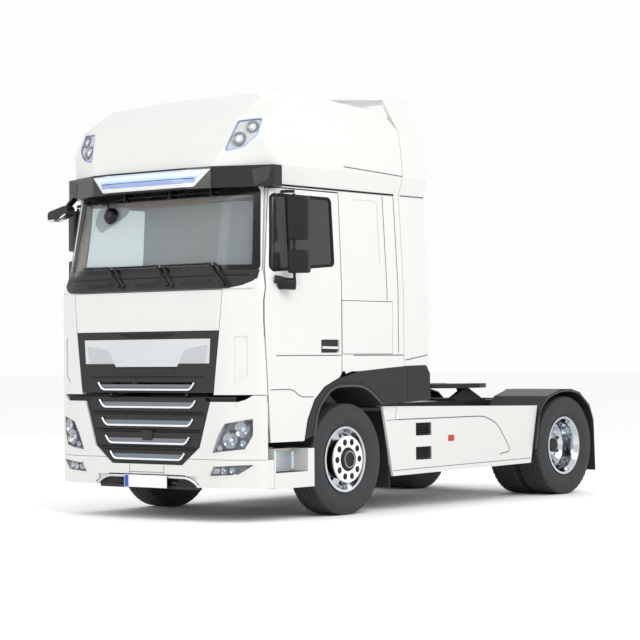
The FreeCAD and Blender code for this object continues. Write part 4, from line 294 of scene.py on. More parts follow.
def repeats(name, unit, places, turns, material):
    """Copies of a unit mesh, one at each place and turned by its Euler angles, as one mesh."""
    tree = bpy.data.node_groups.new(f"{name}_pattern", "GeometryNodeTree")
    sockets = {}
    for label, kind in (("Places", "NodeSocketGeometry"), ("Unit", "NodeSocketObject"),
                        ("Coat", "NodeSocketMaterial")):
        made = tree.interface.new_socket(label, in_out="INPUT", socket_type=kind)
        sockets[label] = made.identifier
    tree.interface.new_socket("Pattern", in_out="OUTPUT", socket_type="NodeSocketGeometry")
    given = add(tree, "NodeGroupInput").outputs
    piece = add(tree, "GeometryNodeObjectInfo", {"Object": given["Unit"]})
    turn = add(tree, "GeometryNodeInputNamedAttribute", {"Name": "turn"},
               data_type="FLOAT_VECTOR")
    facing = add(tree, "FunctionNodeEulerToRotation", {"Euler": turn.outputs["Attribute"]})
    set_out = add(tree, "GeometryNodeInstanceOnPoints",
                  {"Points": given["Places"], "Instance": piece.outputs["Geometry"],
                   "Rotation": facing.outputs["Rotation"]})
    real = add(tree, "GeometryNodeRealizeInstances", {"Geometry": set_out.outputs["Instances"]})
    coated = add(tree, "GeometryNodeSetMaterial", {"Geometry": real.outputs["Geometry"],
                                                   "Material": given["Coat"]})
    add(tree, "NodeGroupOutput", {"Pattern": coated.outputs["Geometry"]})
    spots = bpy.data.meshes.new(f"{name}_places")
    spots.from_pydata(places, [], [])
    facing_data = spots.attributes.new("turn", "FLOAT_VECTOR", "POINT")
    for i, euler in enumerate(turns):
        facing_data.data[i].vector = euler
    piece = show(bpy.data.objects.new(name, spots))
    pattern = piece.modifiers.new("pattern", "NODES")
    pattern.node_group = tree
    pattern[sockets["Unit"]] = unit
    pattern[sockets["Coat"]] = material
    bpy.context.view_layer.update()
    ready = piece.evaluated_get(bpy.context.evaluated_depsgraph_get())
    plain = bpy.data.meshes.new_from_object(ready)
    piece.modifiers.clear()
    piece.data = plain
    for face in plain.polygons:
        face.use_smooth = False
    return piece


def mesh_of(name, shape):
    """A finished edit shape as a mesh."""
    made = bpy.data.meshes.new(name)
    shape.to_mesh(made)
    shape.free()
    return made


def knob(name, section, sides):
    """A small unit mesh turned about Z: rows of (radius, height) with closed ends."""
    shape = bmesh.new()
    rows = []
    for radius, height in section:
        rows.append([shape.verts.new((radius * math.cos(2 * math.pi * k / sides),
                                      radius * math.sin(2 * math.pi * k / sides), height))
                     for k in range(sides)])
    for low, high in zip(rows, rows[1:]):
        for k in range(sides):
            step = (k + 1) % sides
            shape.faces.new((low[k], low[step], high[step], high[k]))
    shape.faces.new(list(reversed(rows[0])))
    shape.faces.new(rows[-1])
    return show(bpy.data.objects.new(name, mesh_of(name, shape)))


# Polished by hand: bright, with faintly wavy reflections.
polished_aluminium = grain(finish("polished_forged_aluminium", "#c4c8cc", 0.12, Metallic=1.0),
                           0.012, 0.00006, ("#b9bdc1", "#d3d7db"), (0.07, 0.17), patch=0.09)
coat(polished_aluminium, "rim_front_left", "rim_front_right", "rims_rear_left",
     "rims_rear_right")
# Stoved enamel: a clean white with a soft gloss.
ring_enamel = grain(finish("white_ring_enamel", "#e8e9e9", 0.35), 0.01, 0.00004,
                    ("#e3e4e4", "#eeefef"), (0.3, 0.4), patch=0.1)
# Brushed-on hub paint: black with a patchy half gloss.
hub_black = grain(finish("black_hub_paint", "#0e0e0f", 0.4,
                         Specular_IOR_Level=0.3), 0.004, 0.0001,
                  ("#111113", "#1c1c1f"), (0.32, 0.5), patch=0.08)
# Chrome: mirror-bright, from white to black within one nut.
chrome = grain(finish("chrome_plate", "#e9ecef", 0.08, Metallic=1.0), 0.02, 0.00003,
               ("#e2e5e9", "#f1f3f5"), (0.05, 0.12), patch=0.3)
nut_unit = knob("nut_unit", [(0.0165, 0.0), (0.0165, 0.016), (0.012, 0.022), (0.012, 0.031),
                             (0.008, 0.034)], 6)
hole_unit = knob("hole_unit", [(0.0300, 0.0), (0.0300, 0.0012), (0.0240, 0.0014)], 20)
hub_nut_unit = knob("hub_nut_unit", [(0.0145, 0.0), (0.0145, 0.016), (0.009, 0.021)], 6)
for side, tag in SIDES:
    front = f"wheel_front_{tag}"
    rear = f"wheels_rear_{tag}"
    facing = [(0.0, math.radians(90 * side), 0.0)] * NUTS
    turned(f"hub_ring_{tag}",
           [(RING_OUTER, RING_REACH - 0.008), (RING_OUTER, RING_REACH + 0.006),
            (RING_OUTER - 0.004, RING_REACH + 0.0095), (RING_INNER + 0.006, RING_REACH + 0.0095),
            (RING_INNER, RING_REACH + 0.006), (RING_INNER, RING_REACH - 0.008)],
           FRONT_AXLE, side, ring_enamel, front, "white_paint")
    turned(f"hub_barrel_{tag}",
           [(BARREL_RADIUS, BARREL_REACH), (BARREL_RADIUS, RING_REACH - 0.007),
            (RING_INNER, RING_REACH - 0.007), (RING_INNER, BARREL_REACH)],
           FRONT_AXLE, side, hub_black, front, "cast_black")
    spots = wheel_circle((RING_REACH + 0.0088) * side, FRONT_AXLE, NUT_CIRCLE, NUTS)
    fit(repeats(f"ring_holes_{tag}", hole_unit, spots, facing, hub_black), front, "cast_black")
    tips = [(x - 0.012 * side, y, z) for x, y, z in spots]
    fit(repeats(f"front_nuts_{tag}", hub_nut_unit, tips, facing, hub_black), front, "cast_black")
    turned(f"hub_cap_{tag}", [(CENTRE, 1.150), (0.100, 1.150), (0.100, 1.210), (0.094, 1.216),
                              (0.070, 1.2185), (0.062, 1.215), (CENTRE, 1.215)],
           FRONT_AXLE, side, hub_black, front, "cast_black")
    turned(f"hub_trim_{tag}", [(0.074, 1.2175), (0.074, 1.2205), (0.070, 1.2205),
                               (0.070, 1.2175)],
           FRONT_AXLE, side, chrome, front, "polished_rim")
    spots = wheel_circle(REAR_NUT_REACH * side, REAR_AXLE, NUT_CIRCLE, NUTS)
    fit(repeats(f"rear_nuts_{tag}", nut_unit, spots, facing, chrome), rear, "polished_rim")
    turned(f"rear_hub_cap_{tag}", [(CENTRE, 1.072), (0.072, 1.072), (0.072, 1.082),
                                   (0.062, 1.090), (CENTRE, 1.092)],
           REAR_AXLE, side, hub_black, rear, "cast_black")
for unit in (nut_unit, hole_unit, hub_nut_unit):
    bpy.data.objects.remove(unit)

# Running gear and frame. Rolled steel rails and cast axles in black chassis paint, leaf springs
# of bare dark steel, air bellows and flaps of black rubber.

# Thick frame paint: near black, its gloss broken by ripples.
chassis_paint = grain(finish("black_chassis_paint", "#161617", 0.45, Coat_Weight=0.1),
                      0.006, 0.0003, ("#121213", "#1d1d1f"), (0.34, 0.55), patch=0.3)
# Cast skin under paint: rough, dull and a little lighter.
cast_iron = grain(finish("sand_cast_iron_in_black", "#222223", 0.62), 0.004, 0.0008,
                  ("#141414", "#222120"), (0.5, 0.75), patch=0.15)
# Rolled steel with scale: brown-grey with marks along its length.
spring_steel = grain(finish("rolled_spring_steel", "#3a3938", 0.5, Metallic=0.7), 0.003, 0.0003,
                     ("#302f2e", "#494644"), (0.4, 0.6), patch=0.1, stretch=(8, 1, 8))
# Calendered rubber: an even, matt black.
bellow_rubber = grain(finish("bellow_rubber", "#1c1c1c", 0.7), 0.002, 0.0003,
                      ("#181818", "#242424"), (0.6, 0.8), patch=0.1)
coat(chassis_paint, "frame_ladder", "cab_floor", "cab_mounts")
coat(cast_iron, "front_axle", "knuckle_left", "knuckle_right", "rear_axle", "engine_block",
     "radiator", "coupling_pedestal", "coupling_plate")
coat(spring_steel, "leaf_springs", "propeller_shaft")
coat(bellow_rubber, "rear_air_suspension", "front_flaps")

# Tanks and deck. The tanks are rolled from brushed aluminium sheet with welded ends. The deck
# plate behind the cab is the same sheet, bolted down.

# Brushed sheet: grey, its highlights drawn out across the brushing.
tank_aluminium = grain(finish("brushed_tank_aluminium", "#b4b7ba", 0.32, Metallic=1.0), 0.002,
                       0.0001, ("#a3a6a9", "#c2c5c8"), (0.25, 0.42), patch=0.2,
                       stretch=(1, 0.04, 1))
coat(tank_aluminium, "side_tanks", "deck_plate")

# Body panels. Pressed steel and moulded panels in one white two-coat paint, glossy and faintly
# orange-peeled.

# Clear-coated white: bright and even, with a soft gloss line on bends.
white_paint = grain(finish("white_body_paint", "#cdcecb", 0.4, Coat_Weight=0.5,
                           Coat_Roughness=0.05, Specular_IOR_Level=0.3), 0.03, 0.00003,
                    ("#cbccc9", "#d0d1ce"), (0.36, 0.44), patch=1.6)
coat(white_paint, "bumper", "corner_panels", "step_boxes", "side_skirts", "cab_shell",
     "hatch_panel", "door_left", "door_right", "locker_lid_left", "locker_lid_right",
     "roof_shell", "roof_lip", "side_fins", "roof_cap")
# Grained plastic: charcoal grey that takes no clear highlight.
charcoal = grain(finish("grained_charcoal_polypropylene", "#2a292a", 0.6,
                        Specular_IOR_Level=0.22), 0.0022, 0.0004,
                 ("#272627", "#302f30"), (0.48, 0.64), patch=0.5)
coat(charcoal, "bumper_valance", "lower_grille", "hatch_grille", "cowl", "cab_wheel_arches",
     "rear_mudguards", "mirror_left", "mirror_right")
# Extruded rubber: the blackest line on the body.
seal_rubber = grain(finish("black_seal_rubber", "#0b0b0c", 0.6, Specular_IOR_Level=0.2), 0.0015,
                    0.0001, ("#09090a", "#101011"), (0.48, 0.62), patch=0.2)

# Bumper. A white moulding with fine joints round its cover panel, a silver U trim round the dark
# intake, a fog lamp in a slit at each end, and the blank number plate on its pad.
FACE = -2.880


def skin(way, *names, proud=None):
    """Looks at CAD nodes from one side. The function it gives turns a place of that view into
    the point of the skin there and the outward normal. The places are (x, up) from the front
    or rear, and (distance back from the bumper's face, up) from a side. A node in proud counts
    as if its skin stood that much further out."""
    corners = []
    faces = []
    owners = []
    for name in names:
        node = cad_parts[name]
        first = len(corners)
        corners += [node.matrix_world @ corner.co for corner in node.data.vertices]
        for face in node.data.polygons:
            faces.append([first + k for k in face.vertices])
            owners.append(name)
    tree = BVHTree.FromPolygons(corners, faces)
    starts = {"front": lambda a, b: ((a, -9.0, b), (0, 1, 0)),
              "rear": lambda a, b: ((a, 9.0, b), (0, -1, 0)),
              "left": lambda a, b: ((9.0, FACE + a, b), (-1, 0, 0)),
              "right": lambda a, b: ((-9.0, FACE + a, b), (1, 0, 0))}

    def find(a, b):
        start, ahead = (Vector(part) for part in starts[way](a, b))
        point, normal, index, _ = tree.ray_cast(start, ahead)
        if point is None:
            for reach in range(40, 140):
                near, normal, index, gap = tree.find_nearest(start + ahead * reach * 0.1)
                if point is None or gap < best:
                    point, kept, at, best = near, normal, index, gap
            normal, index = kept, at
        if normal.dot(ahead) > 0:
            normal = -normal
        return point + normal * (proud or {}).get(owners[index], 0.0), normal

    return find


def rounded(corners, arc):
    """Corners of (a, b, radius) as a closed outline with the same point count at each."""
    points = []
    for k, (a, b, radius) in enumerate(corners):
        here = Vector((a, b))
        before = (Vector(corners[k - 1][:2]) - here).normalized()
        after = (Vector(corners[(k + 1) % len(corners)][:2]) - here).normalized()
        half = before.angle(after) / 2
        reach = radius / math.tan(half)
        centre = here + (before + after).normalized() * radius / math.sin(half)
        first = here + before * reach - centre
        last = here + after * reach - centre
        for i in range(arc + 1):
            share = i / arc
            mixed = first.lerp(last, share)
            if radius > 0:
                mixed = mixed.normalized() * radius
            points.append(centre + mixed)
    return points


def dense(points, step, closed=True):
    """The same line with extra points, so that no stretch is longer than step."""
    made = []
    ends = list(points) + ([points[0]] if closed else [])
    for start, end in zip(ends, ends[1:]):
        start, end = Vector(start), Vector(end)
        count = max(1, math.ceil((end - start).length / step))
        made += [start.lerp(end, i / count) for i in range(count)]
    if not closed:
        made.append(Vector(ends[-1]))
    return made


def mirrored(points, side):
    """An outline or line of the left half, carried over to the right where side is -1."""
    return [Vector((p[0] * side, p[1])) for p in points]


def outline(corners, step=0.05, side=1, arc=6):
    """A closed outline of (a, b, corner radius), carried over to the right where side is -1."""
    return mirrored(dense(rounded(corners, arc), step), side)


def shrunk(points, wall):
    """An outline drawn in by wall all round, with the same point count."""
    area = sum(a.x * b.y - b.x * a.y for a, b in zip(points, points[1:] + points[:1]))
    turn = 1 if area > 0 else -1
    made = []
    for k, here in enumerate(points):
        i = k - 1
        while (here - points[i]).length < 1e-7:
            i -= 1
        j = (k + 1) % len(points)
        while (points[j] - here).length < 1e-7:
            j = (j + 1) % len(points)
        one = (here - points[i]).normalized()
        two = (points[j] - here).normalized()
        side = (Vector((-one.y, one.x)) + Vector((-two.y, two.x))).normalized() * turn
        made.append(here + side * wall / max(0.4, side.dot(Vector((-one.y, one.x)) * turn)))
    return made


def raised(find, points, lift):
    """The points of a skin at places of its view, moved out by lift."""
    spots = [find(p.x, p.y) for p in points]
    return [point + normal * lift for point, normal in spots]


def tile(name, points, find, lift, sink, material, body, slot, rows=4, soft=0.002, crown=0.0):
    """A thin panel on a skin, from sink below it to lift above. Its edge is softened by soft,
    and its middle stands out by crown more."""
    middle = sum(points, Vector((0, 0))) / len(points)
    inner = shrunk(points, soft)
    outer_rows = [raised(find, points, -sink), raised(find, points, lift - soft),
                  raised(find, inner, lift)]
    for k in range(1, rows):
        share = 1 - k / rows
        outer_rows.append(raised(find, [middle.lerp(p, share) for p in inner],
                                 lift + crown * (1 - share ** 2)))
    corners, faces = rings(outer_rows, closed=False)
    count = len(points)
    top = find(middle.x, middle.y)
    corners.append(top[0] + top[1] * (lift + crown))
    last = (len(outer_rows) - 1) * count
    for j in range(count):
        faces.append((last + j, last + (j + 1) % count, len(corners) - 1))
    below = []
    for k in range(1, rows):
        below.append(raised(find, [middle.lerp(p, 1 - k / rows) for p in points], -sink))
    first = len(corners)
    for row in below:
        corners += row
    corners.append(top[0] - top[1] * sink)
    previous = 0
    for k in range(len(below)):
        start = first + k * count
        for j in range(count):
            step = (j + 1) % count
            faces.append((previous + step, previous + j, start + j, start + step))
        previous = start
    for j in range(count):
        faces.append((previous + (j + 1) % count, previous + j, len(corners) - 1))
    return fit(solid(name, corners, faces, material), body, slot)


def sweep(name, path, section, material, body, slot, smooth=35.0):
    """A bar along a path of (point, outward normal), its section in (across, outward)."""
    rows = []
    count = len(path)
    for k, (point, normal) in enumerate(path):
        before = path[max(k - 1, 0)][0]
        after = path[min(k + 1, count - 1)][0]
        across = (after - before).cross(normal).normalized()
        out = across.cross(after - before).normalized()
        rows.append([point + across * a + out * b for a, b in section])
    corners, faces = rings(rows, closed=False)
    many = len(section)
    faces.append(tuple(range(many)))
    faces.append(tuple((count - 1) * many + j for j in range(many)))
    fit(solid(name, corners, faces, material, smooth), body, slot)


def oval(wide, high, steps=10, middle=None):
    """A round or flattened bar section that stands on the skin, or has its middle elsewhere."""
    up = high / 2 if middle is None else middle
    return [(wide / 2 * math.cos(2 * math.pi * k / steps),
             up + high / 2 * math.sin(2 * math.pi * k / steps)) for k in range(steps)]


def strip(wide, high):
    """A flat bar section with softened top edges, sunk a little into the skin."""
    half = wide / 2
    edge = min(half, high) * 0.4
    return [(-half, -0.002), (half, -0.002), (half, high - edge), (half - edge, high),
            (-half + edge, high), (-half, high - edge)]


def line(find, points, step=0.03, lift=0.0):
    """A path over a skin through places of its view."""
    path = []
    for p in dense(points, step, closed=False):
        point, normal = find(p.x, p.y)
        path.append((point + normal * lift, normal))
    return path


def bent(points, radius, arc=5):
    """An open line of places with its inner corners rounded."""
    made = [Vector(points[0])]
    for before, here, after in zip(points, points[1:], points[2:]):
        here = Vector(here)
        one = Vector(before) - here
        two = Vector(after) - here
        reach = min(radius, one.length * 0.45, two.length * 0.45)
        start = here + one.normalized() * reach
        end = here + two.normalized() * reach
        for i in range(arc + 1):
            t = i / arc
            made.append(start * (1 - t) ** 2 + here * 2 * t * (1 - t) + end * t ** 2)
    made.append(Vector(points[-1]))
    return made


def plane(back):
    """A flat upright skin, seen from the front, so far behind the bumper's face."""
    return lambda a, b: (Vector((a, FACE + back, b)), Vector((0, -1, 0)))


def seam(name, find, points, wide, high, material, body, slot, step=0.05, lift=0.0):
    """A flat strip laid along a skin."""
    sweep(name, line(find, points, step, lift), strip(wide, high), material, body, slot)


COVER_HALF = 0.210
TRIM_BACK = 0.0165
CORNER_BACK = 0.020
# Sealer in a narrow gap: a thin grey line that never shines.
joint_grey = grain(finish("shadowed_joint_sealer", "#54575a", 0.6), 0.003, 0.0001,
                   ("#4f5255", "#5e6165"), (0.55, 0.68), patch=0.2)
# Smooth black plastic: deep black with a soft sheen and no grain to see.
gloss_black = grain(finish("gloss_black_moulding", "#060607", 0.3, Specular_IOR_Level=0.3), 0.02,
                    0.00005, ("#050506", "#0a0a0b"), (0.24, 0.36), patch=0.3)
# Metal flakes under clear coat: a bright grey that lights up where it faces the lamps.
silver_paint = grain(finish("silver_metallic_paint", "#c6c8ca", 0.34, Metallic=0.55,
                            Coat_Weight=0.5), 0.0012, 0.00003, ("#c0c3c5", "#cfd1d3"),
                     (0.28, 0.4), patch=0.6)
# Flat acrylic sheet: an even off-white with one soft gloss over all of it.
plate_white = grain(finish("blank_plate_acrylic", "#dfe0e0", 0.25), 0.004, 0.00004,
                    ("#dcdddd", "#e3e4e4"), (0.2, 0.3), patch=0.2)
coat(plate_white, "number_plate")
# Film stuck on the plate: a plain strong blue, a little duller than the acrylic.
plate_blue = grain(finish("blue_plate_film", "#1c48ad", 0.3), 0.004, 0.00004,
                   ("#1a43a2", "#2450b8"), (0.25, 0.36), patch=0.05)
bumper_front = skin("front", "bumper", "bumper_valance")
for k, side in enumerate((-1, 1)):
    seam(f"cover_joint_{k}", bumper_front,
         [(COVER_HALF * side, 0.402), (COVER_HALF * side, 0.485)], 0.006, 0.001, joint_grey,
         "chassis", "black_paint", 0.03)
seam("cover_joint_low", bumper_front, [(-COVER_HALF, 0.420), (COVER_HALF, 0.420)], 0.005, 0.001,
     joint_grey, "chassis", "black_paint", 0.03)
tile("bumper_intake", outline([(-0.590, 0.303, 0.01), (0.590, 0.303, 0.01), (0.455, 0.372, 0.06),
                               (-0.455, 0.372, 0.06)], 0.06), bumper_front, 0.004, 0.004,
     gloss_black, "chassis", "black_gloss")
for side, tag in SIDES:
    corner_cut = [(0.462, 0.402), (0.636, 0.402), (0.636, 0.310)]
    tile(f"intake_corner_{tag}", mirrored(dense(corner_cut, 0.03), side), plane(CORNER_BACK),
         0.0012, 0.004, white_paint, "chassis", "white_paint", rows=2, soft=0.0005)
trim_line = bent([(-0.628, 0.304), (-0.552, 0.354), (-0.472, 0.381), (0.472, 0.381),
                  (0.552, 0.354), (0.628, 0.304)], 0.05)
sweep("intake_trim", line(plane(TRIM_BACK), trim_line, 0.04), oval(0.024, 0.022),
      silver_paint, "chassis", "silver_paint")
seam("intake_trim_joint", bumper_front, [p + Vector((0, 0.017)) for p in trim_line], 0.009,
     0.003, gloss_black, "chassis", "black_gloss", 0.04)
tile("plate_band", outline([(-0.256, 0.288, 0.006), (-0.206, 0.288, 0.001),
                            (-0.206, 0.390, 0.001), (-0.256, 0.390, 0.006)], 0.03),
     skin("front", "number_plate"), 0.001, 0.001, plate_blue, "chassis", "plate_white",
     soft=0.0004)

# Headlamps and fog lamps. Each has a clear polycarbonate cover over bright reflectors, in a
# housing moulded into the white panel, and is screwed in from behind.
LAMP_OUTLINE = [(0.765, 0.602, 0.022), (1.100, 0.634, 0.05), (1.182, 0.770, 0.06),
                (1.182, 0.915, 0.03), (0.930, 0.872, 0.05), (0.825, 0.760, 0.08)]
LAMP_BOWLS = ((1.062, 0.812, 0.070, 0.032), (0.965, 0.717, 0.068, 0.030),
              (0.868, 0.650, 0.027, 0.018), (1.072, 0.692, 0.030, 0.018))
LAMP_SHADES = ((1.118, 0.868), (0.986, 0.790))
FOG_OUTLINE = [(0.750, 0.405, 0.008), (1.030, 0.420, 0.01), (1.156, 0.505, 0.003),
               (1.020, 0.500, 0.02), (0.800, 0.485, 0.02)]
FOG_BOWLS = ((0.905, 0.450, 0.031), (0.985, 0.456, 0.029))
# Clear sheet: hardly seen but for one sharp gleam.
clear_cover = grain(finish("clear_lamp_polycarbonate", "#7b8186", 0.03, Alpha=0.12), 0.05, 0.0001,
                    ("#767c81", "#81878c"), (0.01, 0.04), patch=0.2)
# Vapour-coated plastic over a coarse grain: mottled mid grey between the bright dishes.
housing_grey = grain(finish("metallised_lamp_housing", "#64696e", 0.3, Metallic=0.5), 0.012,
                     0.0003, ("#474b50", "#8d9399"), (0.2, 0.38), patch=0.05)
# A mirror coat on facets: light and dark patches side by side, painted reflections of the facets.
reflector = grain(finish("vapour_coated_reflector_painted_reflections", "#c8ced4", 0.12, Metallic=1.0), 0.02,
                  0.0002, ("#80878e", "#cfd5da"), (0.06, 0.16), patch=0.05)
# Dyed acrylic: an orange that glows a little deeper where it is thick.
amber_lens = grain(finish("amber_lamp_acrylic", "#d9701a", 0.15, Coat_Weight=0.5), 0.006, 0.0004,
                   ("#c9641a", "#e4832c"), (0.1, 0.22), patch=0.06)
# Frosted glass: a pale blue-white spot, soft at its rim.
bulb_glass = grain(finish("frosted_bulb_glass", "#dbe9fb", 0.2, Coat_Weight=0.6), 0.006, 0.0001,
                   ("#c9dcf6", "#eef5ff"), (0.12, 0.25), patch=0.03)


def band(name, points, wall, find, lift, sink, material, body, slot, soft=0.002):
    """A closed frame on a skin, as wide as wall, drawn in from the outline."""
    inner = shrunk(points, wall)
    rows = [raised(find, points, -sink), raised(find, points, lift - soft),
            raised(find, shrunk(points, soft), lift),
            raised(find, shrunk(points, wall - soft), lift),
            raised(find, inner, lift - soft), raised(find, inner, -sink)]
    fit(solid(name, *rings(rows), material), body, slot)


def dished(name, section, centre, ahead, material, body, slot, steps=40):
    """A section of (radius, reach ahead) turned about a lamp's axis."""
    ahead = Vector(ahead).normalized()
    side = ahead.cross(Vector((0, 0, 1))).normalized()
    up = side.cross(ahead)
    rows = [[Vector(centre) + ahead * reach + side * radius * math.cos(2 * math.pi * k / steps)
             + up * radius * math.sin(2 * math.pi * k / steps) for k in range(steps)]
            for radius, reach in section]
    fit(solid(name, *rings(rows), material), body, slot)


def bowl(name, radius, deep, centre, ahead, body):
    """A reflector dish with a rolled rim, and the bulb in its middle."""
    wall = 0.002
    inside = [(radius * share, -deep * (1 - share ** 2)) for share in (0.12, 0.4, 0.7, 0.9, 1.0)]
    rim = [(radius + 0.003, 0.002), (radius + 0.004, -0.002)]
    outside = [(r + wall, z - wall) for r, z in reversed(inside)]
    dished(name, inside + rim + outside, centre, ahead, reflector, body, "lamp_glass")
    bulb = [(CENTRE, -deep), (radius * 0.3, -deep), (radius * 0.3, -deep * 0.55),
            (radius * 0.16, -deep * 0.35), (CENTRE, -deep * 0.32)]
    dished(f"{name}_bulb", bulb, centre, ahead, bulb_glass, body, "lamp_glass", 24)


panel_front = skin("front", "corner_panels", "headlamps", "bumper", proud={"headlamps": 0.008})
for side, tag in SIDES:
    lamp = outline(LAMP_OUTLINE, 0.03, side)
    cover = tile(f"headlamp_cover_{tag}", shrunk(lamp, 0.003), panel_front, -0.003, 0.006,
                 clear_cover, "chassis", "lamp_glass", rows=6, crown=0.004)
    tile(f"headlamp_housing_{tag}", shrunk(lamp, 0.004), panel_front, -0.042, 0.050,
         housing_grey, "chassis", "lamp_glass", rows=6)
    band(f"headlamp_rim_{tag}", shrunk(lamp, 0.003), 0.009, panel_front, -0.006, 0.050,
         housing_grey, "chassis", "lamp_glass")
    band(f"headlamp_seat_{tag}", shrunk(lamp, -0.012), 0.012, panel_front, 0.003, 0.003,
         white_paint, "chassis", "white_paint")
    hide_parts("headlamps")
    for k, (a, b, radius, deep) in enumerate(LAMP_BOWLS):
        spot, normal = panel_front(a * side, b)
        lean = Vector((normal.x * 0.8, -1.0, normal.z))
        bowl(f"headlamp_bowl_{tag}_{k}", radius, deep, spot - normal * 0.012, lean, "chassis")
    for k, (a, b) in enumerate(LAMP_SHADES):
        shade = [(a - 0.030, b - 0.016, 0.008), (a + 0.030, b - 0.010, 0.008),
                 (a + 0.021, b + 0.016, 0.008), (a - 0.024, b + 0.012, 0.008)]
        tile(f"headlamp_shade_{tag}_{k}", outline(shade, 0.02, side), panel_front, -0.012,
             0.020, gloss_black, "chassis", "black_gloss")
    fog = outline(FOG_OUTLINE, 0.03, side)
    tile(f"fog_cover_{tag}", shrunk(fog, 0.003), panel_front, -0.004, 0.007, clear_cover,
         "chassis", "lamp_glass")
    tile(f"fog_housing_{tag}", shrunk(fog, 0.004), panel_front, -0.036, 0.044, housing_grey,
         "chassis", "lamp_glass")
    band(f"fog_seat_{tag}", shrunk(fog, -0.016), 0.016, panel_front, 0.004, 0.003, white_paint,
         "chassis", "white_paint")
    for k, (a, b, radius) in enumerate(FOG_BOWLS):
        spot, normal = panel_front(a * side, b)
        bowl(f"fog_bowl_{tag}_{k}", radius, 0.018, spot - normal * 0.014,
             (normal.x * 0.6, -1.0, 0.0), "chassis")
    lens_there = outline([(0.775, 0.422, 0.006), (0.856, 0.427, 0.006), (0.862, 0.474, 0.006),
                          (0.802, 0.470, 0.006)], 0.02, side)
    tile(f"fog_turn_lens_{tag}", lens_there, panel_front, -0.014, 0.030, reflector, "chassis",
         "lamp_glass")

# Lower grille. One charcoal moulding with five broad blades, a chromed U and a strip of
# stainless mesh in each, and the distance sensor's plain cover in the middle.
GRILLE_BACK = 0.014
GRILLE_FACE = FACE + GRILLE_BACK
FOOT_BACK = 0.020
GRILLE_EDGE = [(0.478, 0.395), (0.500, 0.448), (0.530, 0.492), (0.580, 0.556), (0.650, 0.634),
               (1.049, 0.759), (1.056, 0.700), (1.084, 0.688)]
BLADE_STEPS = [(0.478, 0.004), (0.495, 0.0), (0.612, 0.0), (0.620, 0.026), (0.640, 0.030),
               (0.656, 0.004), (0.668, 0.0), (0.772, 0.0), (0.779, 0.024), (0.794, 0.028),
               (0.805, 0.004), (0.816, 0.0), (0.928, 0.0), (0.935, 0.024), (0.950, 0.028),
               (0.961, 0.004), (0.972, 0.0), (1.074, 0.0), (1.084, 0.006)]
ACROSS = (-1, -0.985, -0.93, -0.85, -0.6, -0.3, 0, 0.3, 0.6, 0.85, 0.93, 0.985, 1)
GRILLE_THICK = 0.036
SHADOW_LEVELS = ((0.631, 0.026), (0.787, 0.017), (0.943, 0.017))
FOOT_OUTLINE = [(0.372, 0.484, 0.001), (0.455, 0.496, 0.02), (0.522, 0.519, 0.04),
                (0.582, 0.557, 0.05), (0.624, 0.606, 0.05), (0.646, 0.660, 0.001)]
BAR_LEVELS = ((0.998, 0.560), (0.836, 0.530), (0.676, 0.485), (0.535, 0.428))
MESH_HIGH = 0.046


def block(name, low, high, bevel, material, body, slot):
    """A block with rounded edges."""
    shape = bmesh.new()
    bmesh.ops.create_cube(shape, size=1.0)
    for corner in shape.verts:
        corner.co = [low[i] + (corner.co[i] + 0.5) * (high[i] - low[i]) for i in range(3)]
    bmesh.ops.bevel(shape, geom=shape.edges, offset=bevel, segments=3, profile=0.5,
                    affect="EDGES")
    fit(tidy(name, mesh_of(name, shape), material), body, slot)


def edge_at(up):
    """Half the grille's width at a height."""
    for (low, one), (high, two) in zip(GRILLE_EDGE, GRILLE_EDGE[1:]):
        if low <= up <= high:
            return one + (two - one) * (up - low) / (high - low)
    return GRILLE_EDGE[0][1]


levels = sorted(BLADE_STEPS + [(up, 0.0) for up, half in GRILLE_EDGE
                               if all(abs(up - other) > 0.003 for other, deep in BLADE_STEPS)])
front_face = []
for up, deep in levels:
    half = edge_at(up)
    for share in ACROSS:
        ease = 1.0 if abs(share) < 0.86 else (0.5 if abs(share) < 0.95 else 0.0)
        front_face.append((half * share, GRILLE_FACE + deep * ease + 0.003 * (abs(share) > 0.99),
                           up))
behind = len(front_face)
across = len(ACROSS)
faces = []
for i in range(len(levels) - 1):
    for a in range(i * across, (i + 1) * across - 1):
        faces.append((a, a + 1, a + across + 1, a + across))
        faces.append((behind + a + across, behind + a + across + 1, behind + a + 1, behind + a))
    for a in (i * across, (i + 1) * across - 1):
        faces.append((a, a + across, behind + a + across, behind + a))
for first in (0, behind - across):
    for a in range(first, first + across - 1):
        faces.append((a, a + 1, behind + a + 1, behind + a))
back_face = [(x, GRILLE_FACE + GRILLE_THICK, up) for x, y, up in front_face]
grille_face = fit(solid("grille_moulding", front_face + back_face, faces, charcoal, 25.0),
                  "chassis", "charcoal_plastic")
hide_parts("lower_grille")
# Painted shadow: a black strip under each blade stands for the shade it casts.
for k, (up, high) in enumerate(SHADOW_LEVELS):
    half = edge_at(up) * 0.90
    block(f"blade_shadow_{k}", (-half, GRILLE_FACE + 0.020, up - high / 2),
          (half, GRILLE_FACE + 0.030, up + high / 2), 0.001, gloss_black, "chassis",
          "black_gloss")
for side, tag in SIDES:
    tile(f"grille_foot_{tag}", outline(FOOT_OUTLINE, 0.02, side), plane(FOOT_BACK), 0.0012,
         0.003, charcoal, "chassis", "charcoal_plastic", rows=2, soft=0.0005)

# Crossed round wires: light grey points with dark holes between them.
steel_mesh = finish("woven_stainless_mesh", "#aeb6bb", 0.35, Metallic=0.8)
mesh_tree = steel_mesh.node_tree
mesh_place = add(mesh_tree, "ShaderNodeTexCoord").outputs["Object"]
